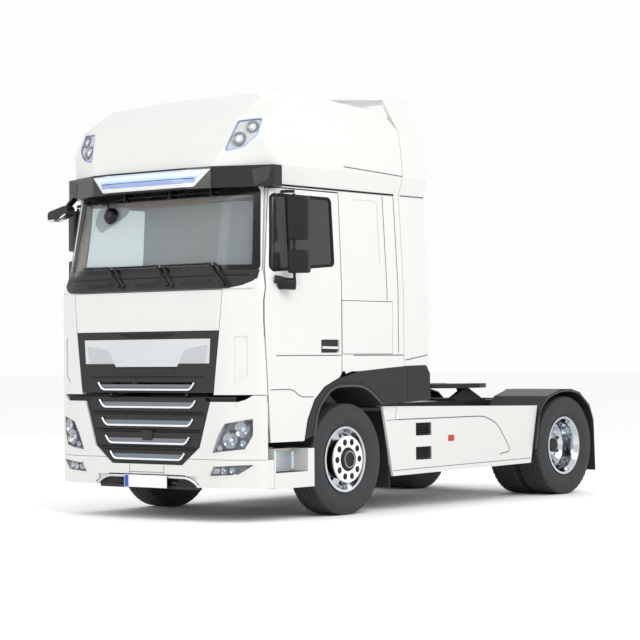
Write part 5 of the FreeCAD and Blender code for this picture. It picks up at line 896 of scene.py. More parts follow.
# Wires 8 mm apart, coarser than the real 3 mm so that they show.
mesh_cells = add(mesh_tree, "ShaderNodeTexVoronoi", {"Vector": mesh_place, "Scale": 1 / 0.008,
                                                     "Randomness": 0.0})
mesh_mix = add(mesh_tree, "ShaderNodeMix", {0: mesh_cells.outputs["Distance"],
                                            6: linear("#282b2d"), 7: linear("#8b9298")},
               data_type="RGBA")
mesh_bump = add(mesh_tree, "ShaderNodeBump", {"Height": mesh_cells.outputs["Distance"],
                                              "Distance": 0.002})
mesh_shader = mesh_tree.nodes["Principled BSDF"]
mesh_tree.links.new(mesh_mix.outputs[2], mesh_shader.inputs["Base Color"])
mesh_tree.links.new(mesh_bump.outputs["Normal"], mesh_shader.inputs["Normal"])
# Satin chrome: a bright line whose reflections are blurred.
chrome_trim = grain(finish("satin_chrome_trim", "#dfe3e6", 0.22, Metallic=0.85), 0.01, 0.00004,
                    ("#d6dade", "#e9edf0"), (0.16, 0.28), patch=0.2)


def grille_bar(name, level, half, find, body):
    """The chromed U along a blade and the mesh that it frames."""
    path = bent([(-half - 0.026, level + 0.062), (-half + 0.022, level), (half - 0.022, level),
                 (half + 0.026, level + 0.062)], 0.05, 8)
    sweep(f"{name}_chrome", line(find, path, 0.06), oval(0.021, 0.018), chrome_trim, body,
          "polished_rim")
    framed = [Vector((-half + 0.034, level + 0.006)), Vector((half - 0.034, level + 0.006)),
              Vector((half + 0.012, level + MESH_HIGH)), Vector((-half - 0.012, level + MESH_HIGH))]
    tile(f"{name}_mesh", dense(framed, 0.06), find, 0.002, 0.004, steel_mesh, body,
         "polished_rim", rows=3, soft=0.001)


for k, (level, half) in enumerate(BAR_LEVELS):
    grille_bar(f"grille_bar_{k}", level, half, plane(GRILLE_BACK), "chassis")
block("distance_sensor_cover", (-0.064, FACE + 0.0035, 0.703), (0.064, FACE + 0.030, 0.792),
      0.006, charcoal, "chassis", "charcoal_plastic")

# Split between cab and bumper. A dark shield closes the gap behind the tilting cab's edge, and
# the white corner panel rises beyond it.
PANEL_TOP = 1.040
BROW_OUTLINE = [(1.020, 1.047, 0.004), (1.2385, 1.047, 0.002), (1.2385, 1.104, 0.003),
                (1.150, 1.104, 0.02), (1.090, 1.066, 0.03)]
corner_front = skin("front", "corner_panels")


def above_panel(a, b):
    """The corner panel's face carried on above its top edge."""
    point, normal = corner_front(a, min(b, PANEL_TOP))
    return Vector((point.x, point.y, b)), normal


block("split_shield", (-1.02, FACE + 0.052, 0.985), (1.02, FACE + 0.060, 1.092), 0.002,
      gloss_black, "chassis", "black_gloss")
for side, tag in SIDES:
    tile(f"corner_brow_{tag}", outline(BROW_OUTLINE, 0.02, side), above_panel, 0.0, 0.020,
         white_paint, "chassis", "white_paint", rows=3)

# Front hatch. The white panel lifts with the black upper grille, which carries a bare silver
# plate with pressed facets, a dark air slit and the topmost chromed U.
FACET_OUTLINE = [(0.398, 1.388, 0.01), (0.715, 1.390, 0.012), (0.738, 1.540, 0.01),
                 (0.490, 1.512, 0.04)]
coat(silver_paint, "badge_plate")
hatch_front = skin("front", "hatch_grille", "badge_plate", "hatch_panel")
# The same silver where the pressing turns down: painted shade makes it a shade darker.
facet_silver = grain(finish("silver_paint_in_shade", "#b3b6b8", 0.36, Metallic=0.55,
                            Coat_Weight=0.5), 0.0012, 0.00003, ("#adb0b3", "#bcbfc1"),
                     (0.28, 0.4), patch=0.6)
tile("badge_tongue", outline([(-0.372, 1.356, 0.01), (0.372, 1.356, 0.01), (0.408, 1.400, 0.01),
                              (-0.408, 1.400, 0.01)]), hatch_front, 0.003, 0.004, silver_paint,
     "front_hatch", "silver_paint")
for side, tag in SIDES:
    tile(f"badge_facet_{tag}", outline(FACET_OUTLINE, side=side), hatch_front, 0.0025, 0.003,
         facet_silver, "front_hatch", "silver_paint")
    fold = bent([(0.398 * side, 1.388), (0.470 * side, 1.508), (0.738 * side, 1.544)], 0.03)
    seam(f"badge_fold_{tag}", hatch_front, fold, 0.005, 0.0015, silver_paint, "front_hatch",
         "silver_paint", 0.04, 0.002)
# Painted shadow: a thin black strip under the badge's tongue stands for its shade.
tile("badge_shadow", dense([Vector((-0.352, 1.344)), Vector((0.352, 1.344)),
                            Vector((0.362, 1.354)), Vector((-0.362, 1.354))], 0.05), hatch_front,
     0.001, 0.003, gloss_black, "front_hatch", "black_gloss", soft=0.0005)
tile("grille_bulge", outline([(-0.318, 1.300, 0.02), (0.318, 1.300, 0.02), (0.386, 1.341, 0.01),
                              (-0.386, 1.341, 0.01)]), hatch_front, 0.006, 0.003, charcoal,
     "front_hatch", "charcoal_plastic", soft=0.005)
# Painted shade: the air slit and the recess over the badge are black tiles where their shade falls.
for name, corners in (
        ("air_slit", [(-0.690, 1.257, 0.004), (0.690, 1.257, 0.004), (0.700, 1.274, 0.006),
                      (-0.700, 1.274, 0.006)]),
        ("badge_top_recess", [(-0.170, 1.611, 0.01), (0.210, 1.611, 0.01),
                              (0.450, 1.654, 0.01), (-0.420, 1.654, 0.01)])):
    tile(name, outline(corners), hatch_front, 0.0012, 0.003, gloss_black, "front_hatch",
         "black_gloss", soft=0.0005)
grille_bar("hatch_bar", 1.1545, 0.560, plane(-0.001), "front_hatch")
seam("hatch_joint", hatch_front, [(-0.866, 1.668), (0.866, 1.668)], 0.006, 0.001, gloss_black,
     "front_hatch", "black_gloss")

# Windscreen. One laminated pane bonded into a black printed border, with the cab's grey roller
# blind down behind it, a pale folded blind at one side and brown trim round the opening.


def fade(made, axis, start, end, stops):
    """Colours that run along one axis of the object, each stop a (share, colour)."""
    tree = made.node_tree
    place = add(tree, "ShaderNodeTexCoord").outputs["Object"]
    apart = add(tree, "ShaderNodeSeparateXYZ", {"Vector": place})
    share = add(tree, "ShaderNodeMapRange", {"Value": apart.outputs[axis], "From Min": start,
                                             "From Max": end})
    ramp = add(tree, "ShaderNodeValToRGB", {"Fac": share.outputs["Result"]})
    while len(ramp.color_ramp.elements) < len(stops):
        ramp.color_ramp.elements.new(0.5)
    for element, (at, colour) in zip(ramp.color_ramp.elements, stops):
        element.position = at
        element.color = linear(colour)
    tree.links.new(ramp.outputs["Color"],
                   tree.nodes["Principled BSDF"].inputs["Base Color"])
    return made


# Thin tinted glass: the blind behind shows through a grey-green film.
screen_glass = grain(finish("tinted_screen_glass", "#7f888a", 0.03, Alpha=0.24), 0.3, 0.0001,
                     ("#7a8385", "#858e90"), (0.02, 0.04), patch=0.9)
coat(screen_glass, "windscreen")
# Ceramic print under glass: a clean black that gleams like the pane.
border_black = grain(finish("black_screen_border", "#060607", 0.25, Specular_IOR_Level=0.35),
                     0.04, 0.00004, ("#050506", "#0a0a0c"), (0.2, 0.3), patch=0.4)
# Coated cloth in the cab's shade: a flat grey with painted shade, darker towards the door.
blind_cloth = fade(finish("grey_blind_cloth_painted_shade", "#8b9293", 0.7), "X", -1.1, 1.1,
                   ((0.0, "#8d9494"), (0.4, "#8f9798"), (0.62, "#929695"), (0.8, "#8b8c8b"),
                    (0.93, "#7c8489"), (1.0, "#5c666e")))
# Thin cloth with a painted glow for the daylight through it: the palest field behind the glass.
pale_cloth_painted_glow = grain(finish("pale_blind_cloth_painted_glow", "#e6f2f4", 0.75,
                          Emission_Color=linear("#dfeef2"), Emission_Strength=0.22), 0.004, 0.0001,
                   ("#e0eff3", "#ecf4f4"), (0.68, 0.82), patch=0.4)
# The same cloth doubled: a light grey without the painted glow.
grey_patch = grain(finish("grey_blind_window", "#b9c1c5", 0.6), 0.004, 0.0001,
                   ("#b3bbbf", "#c1c8cb"), (0.55, 0.7), patch=0.2)
# Napped trim cloth: warm brown that takes no highlight.
brown_trim = grain(finish("brown_interior_cloth", "#8f7866", 0.85), 0.003, 0.0004,
                   ("#83705f", "#9b8371"), (0.78, 0.9), patch=0.15)
screen_front = skin("front", "cab_shell", "windscreen", "cowl",
                    proud={"windscreen": 0.005, "cowl": -0.014})
band("screen_border", outline([(-1.171, 2.172, 0.06), (1.171, 2.172, 0.06),
                               (1.088, 2.925, 0.06), (-1.088, 2.925, 0.06)], arc=8), 0.068,
     screen_front, 0.0015, 0.004, border_black, "cab", "black_gloss")
# The border runs on round the right-hand pillar.
tile("pillar_cover", outline([(-1.214, 2.172, 0.01), (-1.080, 2.172, 0.01),
                              (-1.050, 2.925, 0.01), (-1.186, 2.925, 0.01)]), screen_front,
     0.0015, 0.004, border_black, "cab", "black_gloss", rows=2)
glass_only = skin("front", "windscreen")
tile("roller_blind", outline([(-1.09, 2.225, 0.03), (1.09, 2.225, 0.03), (1.01, 2.815, 0.03),
                              (-1.01, 2.815, 0.03)], 0.06), glass_only, -0.040, 0.043,
     blind_cloth, "cab", "seat_fabric", rows=8)
tile("folded_blind", outline([(-0.875, 2.285, 0.01), (-0.135, 2.262, 0.02),
                              (-0.225, 2.775, 0.03), (-0.975, 2.850, 0.01)], 0.06), glass_only,
     -0.030, 0.034, pale_cloth_painted_glow, "cab", "seat_fabric", rows=6)
tile("blind_window", outline([(-0.735, 2.590, 0.05), (-0.400, 2.772, 0.04),
                              (-0.470, 2.835, 0.03), (-0.862, 2.822, 0.06),
                              (-0.867, 2.686, 0.07)], 0.04), glass_only, -0.027, 0.030,
     grey_patch, "cab", "seat_fabric")
tile("header_trim", outline([(-0.97, 2.838, 0.004), (-0.20, 2.800, 0.004), (0.45, 2.802, 0.004),
                             (1.03, 2.858, 0.004), (1.01, 2.898, 0.004), (-1.01, 2.898, 0.004)]),
     glass_only, -0.026, 0.029, brown_trim, "cab", "seat_fabric", rows=5)
tile("pillar_trim", outline([(-1.105, 2.225, 0.01), (-0.885, 2.225, 0.01), (-0.985, 2.850, 0.01),
                             (-1.02, 2.860, 0.01)]), glass_only, -0.024, 0.027, brown_trim,
     "cab", "seat_fabric", rows=5)

# Cowl and wipers. Three pantograph wipers sweep to the vehicle's right; each has two pressed
# steel arms in black paint on its own spindles, and a rubber blade.
WIPERS = (((-0.275, 2.078), (-0.424, 2.242), (-0.333, 2.086), (-0.524, 2.253), (-0.845, -0.505)),
          ((0.327, 2.075), (0.184, 2.239), (0.262, 2.084), (0.088, 2.253), (-0.455, 0.095)),
          ((0.964, 2.065), (0.814, 2.236), (0.922, 2.072), (0.721, 2.253), (0.140, 0.728)))
BLADE_UP = 2.2515
BLADE_SECTION = [(-0.009, 0.012), (-0.002, 0.0), (0.002, 0.0), (0.009, 0.012), (0.007, 0.018),
                 (-0.007, 0.018)]
GRIPS = ((-0.742, -0.390), (-0.141, 0.197), (0.418, 0.870))
CORNER_CURVE = [(0.860, 2.020), (0.975, 2.036), (1.075, 2.060), (1.146, 2.096), (1.190, 2.140)]
wiper_front = skin("front", "cowl", "windscreen", "cab_shell", proud={"windscreen": 0.005})
for k, (root, tip, second, far, (near, end)) in enumerate(WIPERS):
    for j, (low, high) in enumerate(((root, tip), (second, far))):
        way = bent([low, (low[0] * 0.75 + high[0] * 0.25, low[1] * 0.75 + high[1] * 0.25), high,
                    (high[0] - 0.05, 2.253)], 0.04)
        path = line(wiper_front, way)
        last = len(path) - 1
        arched = [(point + normal * (0.010 + 0.012 * math.sin(math.pi * i / last)), normal)
                  for i, (point, normal) in enumerate(path)]
        sweep(f"wiper_arm_{k}_{j}", arched, oval(0.021, 0.010, 8), gloss_black, "cab",
              "black_paint")
        dished(f"wiper_spindle_{k}_{j}", [(CENTRE, -0.006), (0.018, -0.006), (0.018, 0.012),
                                          (0.013, 0.018), (CENTRE, 0.019)], *wiper_front(*low),
               gloss_black, "cab", "black_paint", 20)
    sweep(f"wiper_blade_{k}", line(wiper_front, [(near, BLADE_UP), (end, BLADE_UP)], 0.05,
                                   lift=0.001), BLADE_SECTION, gloss_black, "cab", "black_paint")
    inner = near * 0.85 + end * 0.15
    outer = near * 0.15 + end * 0.85
    sweep(f"wiper_frame_{k}", line(wiper_front, [(inner, BLADE_UP), (outer, BLADE_UP)], 0.05,
                                   lift=0.018), oval(0.012, 0.008, 8), gloss_black, "cab",
          "black_paint")
cowl_front = skin("front", "cowl")
for k, (low, high) in enumerate(GRIPS):
    recess = outline([(low, 2.074, 0.014), (high - 0.05, 2.070, 0.02), (high, 2.126, 0.012),
                      (high - 0.07, 2.126, 0.01), (high - 0.11, 2.098, 0.02),
                      (low, 2.100, 0.012)], 0.04)
    band(f"cowl_grip_rim_{k}", shrunk(recess, -0.007), 0.007, cowl_front, 0.003, 0.002, charcoal,
         "cab", "charcoal_plastic", soft=0.001)
    # Painted shade: the black tile inside each grip stands for the shade in its recess.
    tile(f"cowl_grip_{k}", recess, cowl_front, 0.001, 0.003, gloss_black, "cab", "black_gloss",
         soft=0.0004)
seam("cowl_ledge", cowl_front, [(-1.10, 2.150), (1.10, 2.150)], 0.010, 0.003, seal_rubber, "cab",
     "charcoal_plastic")


def cleft(shape, point, normal, name):
    """Cuts a closed shape by a plane. The part beyond it becomes a mesh, the rest is kept."""
    beyond = shape.copy()
    for part, inner in ((shape, True), (beyond, False)):
        cut = bmesh.ops.bisect_plane(part, geom=part.verts[:] + part.edges[:] + part.faces[:],
                                     plane_co=point, plane_no=normal, clear_outer=inner,
                                     clear_inner=not inner)
        rim = [edge for edge in cut["geom_cut"] if isinstance(edge, bmesh.types.BMEdge)]
        bmesh.ops.holes_fill(part, edges=rim, sides=0)
    return mesh_of(name, beyond)


# The cowl's round lower corners are white like the panel below: its CAD shape is cut there.
cowl_shape = bmesh.new()
cowl_shape.from_mesh(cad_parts["cowl"].data)
bmesh.ops.remove_doubles(cowl_shape, verts=cowl_shape.verts, dist=1e-5)
for side, tag in SIDES:
    for k, (start, end) in enumerate(zip(CORNER_CURVE, CORNER_CURVE[1:])):
        out = Vector(((end[1] - start[1]) * side, 0.0, start[0] - end[0])).normalized()
        cheek = cleft(cowl_shape, Vector((start[0] * side, 0.0, start[1])), out,
                      f"cowl_cheek_{tag}_{k}")
        fit(tidy(f"cowl_cheek_{tag}_{k}", cheek, white_paint), "cab", "white_paint")
cowl_moulding = fit(tidy("cowl_moulding", mesh_of("cowl_moulding", cowl_shape), charcoal), "cab",
                    "charcoal_plastic")
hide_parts("cowl")

# Sun visor. Dark moulded acrylic with grained end caps. The blind's guide rod hangs under it on
# three hooks, with the front mirror at its right-hand end.
VISOR_CAP = [(1.098, 2.924, 0.012), (1.212, 2.975, 0.012), (1.246, 3.100, 0.012),
             (1.072, 3.070, 0.012)]
# Smoked acrylic: almost black, with clear reflections of the sky.
black_acrylic = grain(finish("black_acrylic", "#151517", 0.16, Specular_IOR_Level=0.5), 0.05,
                      0.00004, ("#111114", "#1b1c20"), (0.1, 0.2), patch=0.5)
coat(black_acrylic, "sun_visor")
# Moulded grain: a warm black with a broken, dull sheen.
cap_brown = grain(finish("grained_visor_cap", "#2c2a29", 0.5), 0.0022, 0.0003,
                  ("#272524", "#343130"), (0.42, 0.58), patch=0.3)
visor_front = skin("front", "sun_visor")
for side, tag in SIDES:
    tile(f"visor_cap_{tag}", outline(VISOR_CAP, 0.03, side), visor_front, 0.004, 0.004,
         cap_brown, "cab", "charcoal_plastic")
    seam(f"visor_joint_{tag}", visor_front, [(0.735 * side, 2.925), (0.735 * side, 3.100)], 0.006,
         0.001, gloss_black, "cab", "black_gloss", 0.03)
rod_way = bent([(-0.722, 2.836), (-0.459, 2.886), (0.721, 2.885)], 0.08)
sweep("visor_rod", line(screen_front, rod_way, 0.05, lift=0.020), oval(0.014, 0.014, 8),
      gloss_black, "cab", "black_paint")
for k, a in enumerate((-0.434, 0.126, 0.623)):
    spot, normal = screen_front(a, 2.886)
    block(f"rod_hook_{k}", (a - 0.014, spot.y - 0.046, 2.862), (a + 0.014, spot.y - 0.006, 2.924),
          0.005, gloss_black, "cab", "black_paint")
spot, normal = screen_front(-0.600, 2.737)
dished("front_mirror_back", [(CENTRE, 0.060), (0.040, 0.056), (0.066, 0.040), (0.078, 0.014),
                             (0.078, 0.008), (0.070, 0.004), (CENTRE, 0.004)], spot, normal,
       gloss_black, "cab", "black_gloss")
sweep("front_mirror_stem", [(spot + normal * 0.03 + Vector((0.0, 0.0, 0.05)), normal),
                            (spot + normal * 0.03 + Vector((-0.04, 0.02, 0.11)), normal)],
      oval(0.018, 0.018, 8), gloss_black, "cab", "black_gloss")

# Kerb mirror. It hangs from the visor's right-hand end and looks down at the kerb: a dark shell
# moulded in one with its arm, with a bright rim along its foot.
kerb_line = bent([(-1.278, 2.722), (-1.160, 2.722), (-1.050, 2.776)], 0.05)
sweep("kerb_mirror_rim", line(visor_front, kerb_line), oval(0.016, 0.010, 8), chrome_trim, "cab",
      "polished_rim")

# Roof lip and light band. The white lip frames a pale blue acrylic band with a fine dark line
# along it.
BAND_LOW = 2.970
BAND_HALF = 0.470
SWEPT_BACK = 0.070 / 0.251
# Acrylic over foil: a soft blue, paled by a painted highlight towards the middle of its height.
band_acrylic = fade(finish("blue_band_acrylic_painted_highlight", "#a9c2e6", 0.18, Coat_Weight=0.5), "Z",
                    BAND_LOW, 3.087, ((0.0, "#8496c4"), (0.36, "#8fa3cf"), (0.44, "#a9bfe4"),
                                      (0.56, "#b9d2f2"), (0.74, "#dcebf6"), (0.86, "#c2d6ef"),
                                      (1.0, "#9db4dc")))


def lip_face(a, b):
    """The lip's face: flat across the middle and swept back towards its ends."""
    back = 0.002 + max(0.0, abs(a) - BAND_HALF) * SWEPT_BACK
    return Vector((a, FACE + back, b)), Vector((0, -1, 0))


tile("light_band", outline([(-0.545, BAND_LOW, 0.045), (0.545, BAND_LOW, 0.045),
                            (0.662, 3.0865, 0.012), (-0.662, 3.0865, 0.012)], 0.04), lip_face,
     0.0010, 0.003, band_acrylic, "cab", "lamp_glass", soft=0.0008)
seam("light_band_line", lip_face, [(-0.565, 3.013), (0.565, 3.013)], 0.005, 0.0018, gloss_black,
     "cab", "black_gloss", 0.04)

# Roof lamps. Each has two round reflectors on a pale moulding, behind a clear lens with a blue
# edge that is bonded flush into the roof's corner.
ROOF_LAMP = [(0.812, 3.235, 0.022), (0.985, 3.275, 0.04), (1.090, 3.370, 0.05),
             (1.095, 3.530, 0.03), (0.880, 3.515, 0.05)]
ROOF_DISHES = ((1.020, 3.455, 0.052), (0.925, 3.350, 0.060))
coat(clear_cover, "roof_lamps")
# The lens's dyed edge: a thin bright blue rim.
lens_blue = grain(finish("blue_lens_edge", "#6f93dd", 0.2, Coat_Weight=0.5), 0.004, 0.00005,
                  ("#648ad6", "#86a5e6"), (0.15, 0.26), patch=0.05)
# Pale moulding under the lens: a light grey a little darker than the roof's paint.
lamp_white = grain(finish("pale_lamp_housing", "#c9cbcc", 0.4), 0.01, 0.0002,
                   ("#bfc1c3", "#d5d7d8"), (0.34, 0.46), patch=0.08)
# Half-metallic dish: mid grey, so that the round lamps stand out.
lamp_grey = grain(finish("grey_lamp_reflector", "#7d7f81", 0.3, Metallic=0.4), 0.006, 0.0002,
                  ("#6d6f72", "#97999b"), (0.24, 0.36), patch=0.03)
roof_front = skin("front", "roof_shell", "roof_lamps")
for side, tag in SIDES:
    lamp = outline(ROOF_LAMP, 0.03, side)
    band(f"roof_lamp_edge_{tag}", shrunk(lamp, -0.002), 0.007, roof_front, 0.001, 0.003,
         lens_blue, "cab", "lamp_glass", soft=0.0008)
    tile(f"roof_lamp_back_{tag}", shrunk(lamp, 0.006), roof_front, -0.012, 0.016, lamp_white,
         "cab", "lamp_glass", rows=5)
    for k, (a, b, radius) in enumerate(ROOF_DISHES):
        spot, normal = roof_front(a * side, b)
        dished(f"roof_lamp_dish_{tag}_{k}",
               [(CENTRE, -0.016), (radius * 0.55, -0.014), (radius * 0.85, -0.008),
                (radius, 0.0015), (radius + 0.005, 0.0015), (radius + 0.006, -0.016),
                (CENTRE, -0.020)], spot, normal, lamp_grey, "cab", "lamp_glass", 36)
        dished(f"roof_lamp_bulb_{tag}_{k}",
               [(CENTRE, -0.014), (radius * 0.42, -0.014), (radius * 0.36, -0.004),
                (radius * 0.2, 0.0005), (CENTRE, 0.001)], spot, normal, bulb_glass, "cab",
               "lamp_glass", 24)

# Cab sides. Doors and lids hang in the welded shell; black rubber frames the bonded panes, and
# sealed joints and a rain gutter run along the panels.
WINDOW = [(0.268, 2.180, 0.045), (1.160, 2.252, 0.045), (1.160, 2.862, 0.045),
          (0.350, 2.862, 0.045)]
HANDLE_WELL = [(0.955, 1.472, 0.028), (1.213, 1.472, 0.028), (1.213, 1.590, 0.028),
               (0.955, 1.590, 0.028)]
DOOR_SEAM = [(0.256, 1.152), (0.545, 1.152), (0.665, 1.084), (0.845, 1.080)]
DOOR_EDGE = [(0.252, 0.710), (0.192, 1.300), (0.192, 1.930), (0.340, 2.905), (1.266, 2.905),
             (1.245, 1.930), (1.245, 1.290)]
GUTTER_UP = 2.943
SIDE_JOINTS = (((1.420, 1.448), (2.180, 1.448)), ((2.100, 1.470), (2.100, 2.930)),
               ((1.930, 1.955), (1.930, 2.930)), ((2.205, 1.400), (2.560, 1.448)),
               ((1.300, 3.155), (2.180, 3.120)))
# Deeply tinted pane: a dark grey mirror with a hint of depth.
door_glass = grain(finish("dark_tinted_glass", "#2b2c2d", 0.05, Alpha=0.93), 0.3, 0.0001,
                   ("#282929", "#323334"), (0.03, 0.07), patch=0.8)
coat(door_glass, "door_glass_left", "door_glass_right")
# Fine-grained plastic in a recess: black without a gleam.
handle_dark = grain(finish("handle_well_plastic", "#0d0d0e", 0.5), 0.002, 0.0002,
                    ("#0a0a0b", "#131314"), (0.42, 0.58), patch=0.2)
for side, tag in SIDES:
    door = f"{tag}_door"
    pane = f"door_glass_{tag}"
    door_side = skin(tag, f"door_{tag}", pane, proud={pane: 0.008})
    band(f"window_seal_{tag}", shrunk(outline(WINDOW), -0.007), 0.026, door_side, 0.002, 0.009,
         seal_rubber, door, "bellow_rubber")
    seam(f"quarter_bar_{tag}", door_side, [(0.545, 2.205), (0.545, 2.850)], 0.030, 0.007,
         seal_rubber, door, "bellow_rubber", lift=-0.007)
    tile(f"handle_well_{tag}", outline(HANDLE_WELL, 0.04), door_side, 0.0015, 0.002, handle_dark,
         door, "charcoal_plastic", soft=0.0008)
    sweep(f"handle_bar_{tag}", line(door_side, [(0.970, 1.520), (1.200, 1.516)], 0.04,
                                    lift=0.006), oval(0.026, 0.014), chrome_trim, door,
          "polished_rim")
    seam(f"door_seam_{tag}", door_side, bent(DOOR_SEAM, 0.05), 0.009, 0.001, joint_grey, door,
         "black_paint", 0.04)
    seam(f"door_belt_{tag}", door_side, [(0.330, 1.448), (1.236, 1.448)], 0.009, 0.001,
         joint_grey, door, "black_paint")
    shell_side = skin(tag, "cab_shell", "roof_shell", "side_fins")
    seam(f"rain_gutter_{tag}", shell_side, [(0.420, GUTTER_UP), (2.100, GUTTER_UP)], 0.016,
         0.007, seal_rubber, "cab", "bellow_rubber")
    seam(f"fin_gutter_{tag}", shell_side, [(2.205, GUTTER_UP), (2.585, GUTTER_UP)], 0.012,
         0.003, joint_grey, "cab", "black_paint")
    for k, ends in enumerate(SIDE_JOINTS):
        seam(f"side_joint_{tag}_{k}", shell_side, ends, 0.010, 0.001, joint_grey, "cab",
             "black_paint")
    seal = bent([(a + (-0.007 if a < 0.5 else 0.007), b + (0.007 if b > 2.9 else 0.0))
                 for a, b in DOOR_EDGE], 0.02)
    path = []
    for p in dense(seal, 0.05, False):
        # The depth is looked up a little inside the door, where its skin is.
        toward = (Vector((0.72, min(max(p.y, 1.4), 2.7))) - p).normalized() * 0.016
        spot, normal = door_side(p.x + toward.x, p.y + toward.y)
        path.append((Vector((spot.x, FACE + p.x, p.y)) - normal * 0.006, normal))
    sweep(f"door_seal_{tag}", path, strip(0.007, 0.002), joint_grey, "cab", "bellow_rubber")

# Mirrors. Dark moulded housings with rounded edges and silvered glass at the back, on one tube
# between the foot and the upper arm.
LEAN = math.radians(25.0)
HOUSING_WIDE = 0.206
HOUSING_DEEP = 0.09
# Silvered glass: it shows only what it faces.
mirror_silver = grain(finish("silvered_mirror_glass", "#dfe5e9", 0.03, Metallic=1.0), 0.2,
                      0.00002, ("#dae0e5", "#e6ebef"), (0.02, 0.05), patch=0.3)
# Fine moulded grain: near black with a wide, dull sheen.
mirror_shell = grain(finish("dark_mirror_shell", "#1b1b1c", 0.6, Specular_IOR_Level=0.2), 0.002,
                     0.0002, ("#181819", "#222223"), (0.38, 0.52), patch=0.3)


def mirror_axes(side):
    """The inner front corner of the housings on the ground plan, and their two axes."""
    return (Vector((1.300 * side, FACE + 0.400, 0.0)),
            Vector((math.cos(LEAN) * side, math.sin(LEAN), 0.0)),
            Vector((-math.sin(LEAN) * side, math.cos(LEAN), 0.0)))


def housing(name, low, high, side, body):
    """A mirror housing with rounded corners, its plan turned so that it faces back and in."""
    shape = bmesh.new()
    bmesh.ops.create_cube(shape, size=1.0)
    start, wide, deep = mirror_axes(side)
    for corner in shape.verts:
        p = corner.co
        narrow = 0.86 if p.y < 0 else 1.0
        corner.co = (start + wide * HOUSING_WIDE * (0.5 + p.x * narrow)
                     + deep * HOUSING_DEEP * (p.y + 0.5)
                     + Vector((0, 0, low + (p.z + 0.5) * (high - low))))
    bmesh.ops.recalc_face_normals(shape, faces=shape.faces)
    bmesh.ops.bevel(shape, geom=shape.edges, offset=0.020, segments=4, profile=0.5,
                    affect="EDGES")
    shell = fit(tidy(name, mesh_of(name, shape), mirror_shell), body, "charcoal_plastic")
    glass = [start + deep * HOUSING_DEEP + wide * across + deep * out + Vector((0, 0, up))
             for out in (0.0004, 0.0030) for across in (0.022, 0.184)
             for up in (low + 0.024, high - 0.024)]
    pane = solid(f"{name}_glass", glass, [(0, 1, 3, 2), (4, 6, 7, 5), (0, 4, 5, 1),
                                          (2, 3, 7, 6), (0, 2, 6, 4), (1, 5, 7, 3)],
                 mirror_silver)
    fit(pane, body, "polished_rim")
    return shell


def stations(points, side, normal):
    """A path through points of (x, distance back, up), all with one normal."""
    return [(Vector((x * side, FACE + back, up)), Vector(normal)) for x, back, up in points]


for side, tag in SIDES:
    body = f"{tag}_door"
    tall = housing(f"mirror_tall_{tag}", 2.455, 2.835, side, body)
    housing(f"mirror_wide_{tag}", 2.165, 2.365, side, body)
    start, wide, deep = mirror_axes(side)
    post = start + wide * HOUSING_WIDE * 0.3 + deep * HOUSING_DEEP * 0.6
    upright = [(Vector((post.x, post.y, up)), Vector((0, -1, 0)))
               for up in (2.030, 2.2, 2.4, 2.6, 2.8, 2.860)]
    sweep(f"mirror_post_{tag}", upright, oval(0.026, 0.026, 12, 0.0), mirror_shell, body,
          "charcoal_plastic")
    arm = stations([(1.197, 0.470, 2.882), (1.260, 0.466, 2.882)], side, (0, 0, 1))
    arm.append((Vector((post.x, post.y, 2.878)), Vector((0, 0, 1))))
    sweep(f"mirror_arm_{tag}", arm, [(-0.014, -0.012), (0.014, -0.012), (0.014, 0.010),
                                     (0.009, 0.014), (-0.009, 0.014), (-0.014, 0.010)],
          mirror_shell, body, "charcoal_plastic")
    foot = stations([(1.2408, 0.385, 2.075), (1.275, 0.395, 2.075)], side, (0, 0, 1))
    foot.append((Vector((post.x + 0.010 * side, post.y, 2.070)), Vector((0, 0, 1))))
    sweep(f"mirror_foot_{tag}", foot, oval(0.092, 0.104, 20, 0.0), mirror_shell, body,
          "charcoal_plastic")
    hinge = stations([(1.2400, 0.318, 2.112), (1.2680, 0.350, 2.106), (1.2900, 0.400, 2.090),
                      (1.3000, 0.440, 2.060)], side, (side, 0, 0))
    sweep(f"mirror_hinge_{tag}", hinge, oval(0.072, 0.060, 20, 0.0), mirror_shell, body,
          "charcoal_plastic", smooth=1.0)
    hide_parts(f"mirror_{tag}")

# Wheel arches and mudguards. Charcoal mouldings with a rolled edge round each opening, clipped
# under the cab and over the twin tyres.
FLANK = 1.2375
MOUTH = [(0.862, 0.720), (0.915, 0.965), (1.130, 1.163), (1.600, 1.163), (1.862, 0.990)]
CREASE = [(0.828, 0.720), (0.884, 0.985), (1.115, 1.198), (1.610, 1.198), (1.885, 0.995)]
GUARD = [(4.415, 0.490), (4.496, 0.883), (4.638, 1.006), (4.866, 1.074), (5.096, 1.080),
         (5.252, 1.046), (5.446, 0.914), (5.523, 0.754), (5.550, 0.240)]
# Glossy rolled edge: a painted highlight draws a fine lighter line round the opening.
edge_sheen = grain(finish("polished_moulding_edge_painted_highlight", "#3c3c3e", 0.3, Specular_IOR_Level=0.5), 0.01,
                   0.00005, ("#363638", "#454547"), (0.2, 0.32), patch=0.2)


def flank(points, side, out=FLANK, back=0.0, rise=0.0):
    """A path on an upright plane along the vehicle's side."""
    return [(Vector((out * side, FACE + p[0] + back, p[1] + rise)), Vector((side, 0, 0)))
            for p in points]


def between(side, reach, thick):
    """The two ends across the vehicle of a sheet on one side, the lower first."""
    return sorted((reach * side, (reach + thick) * side))


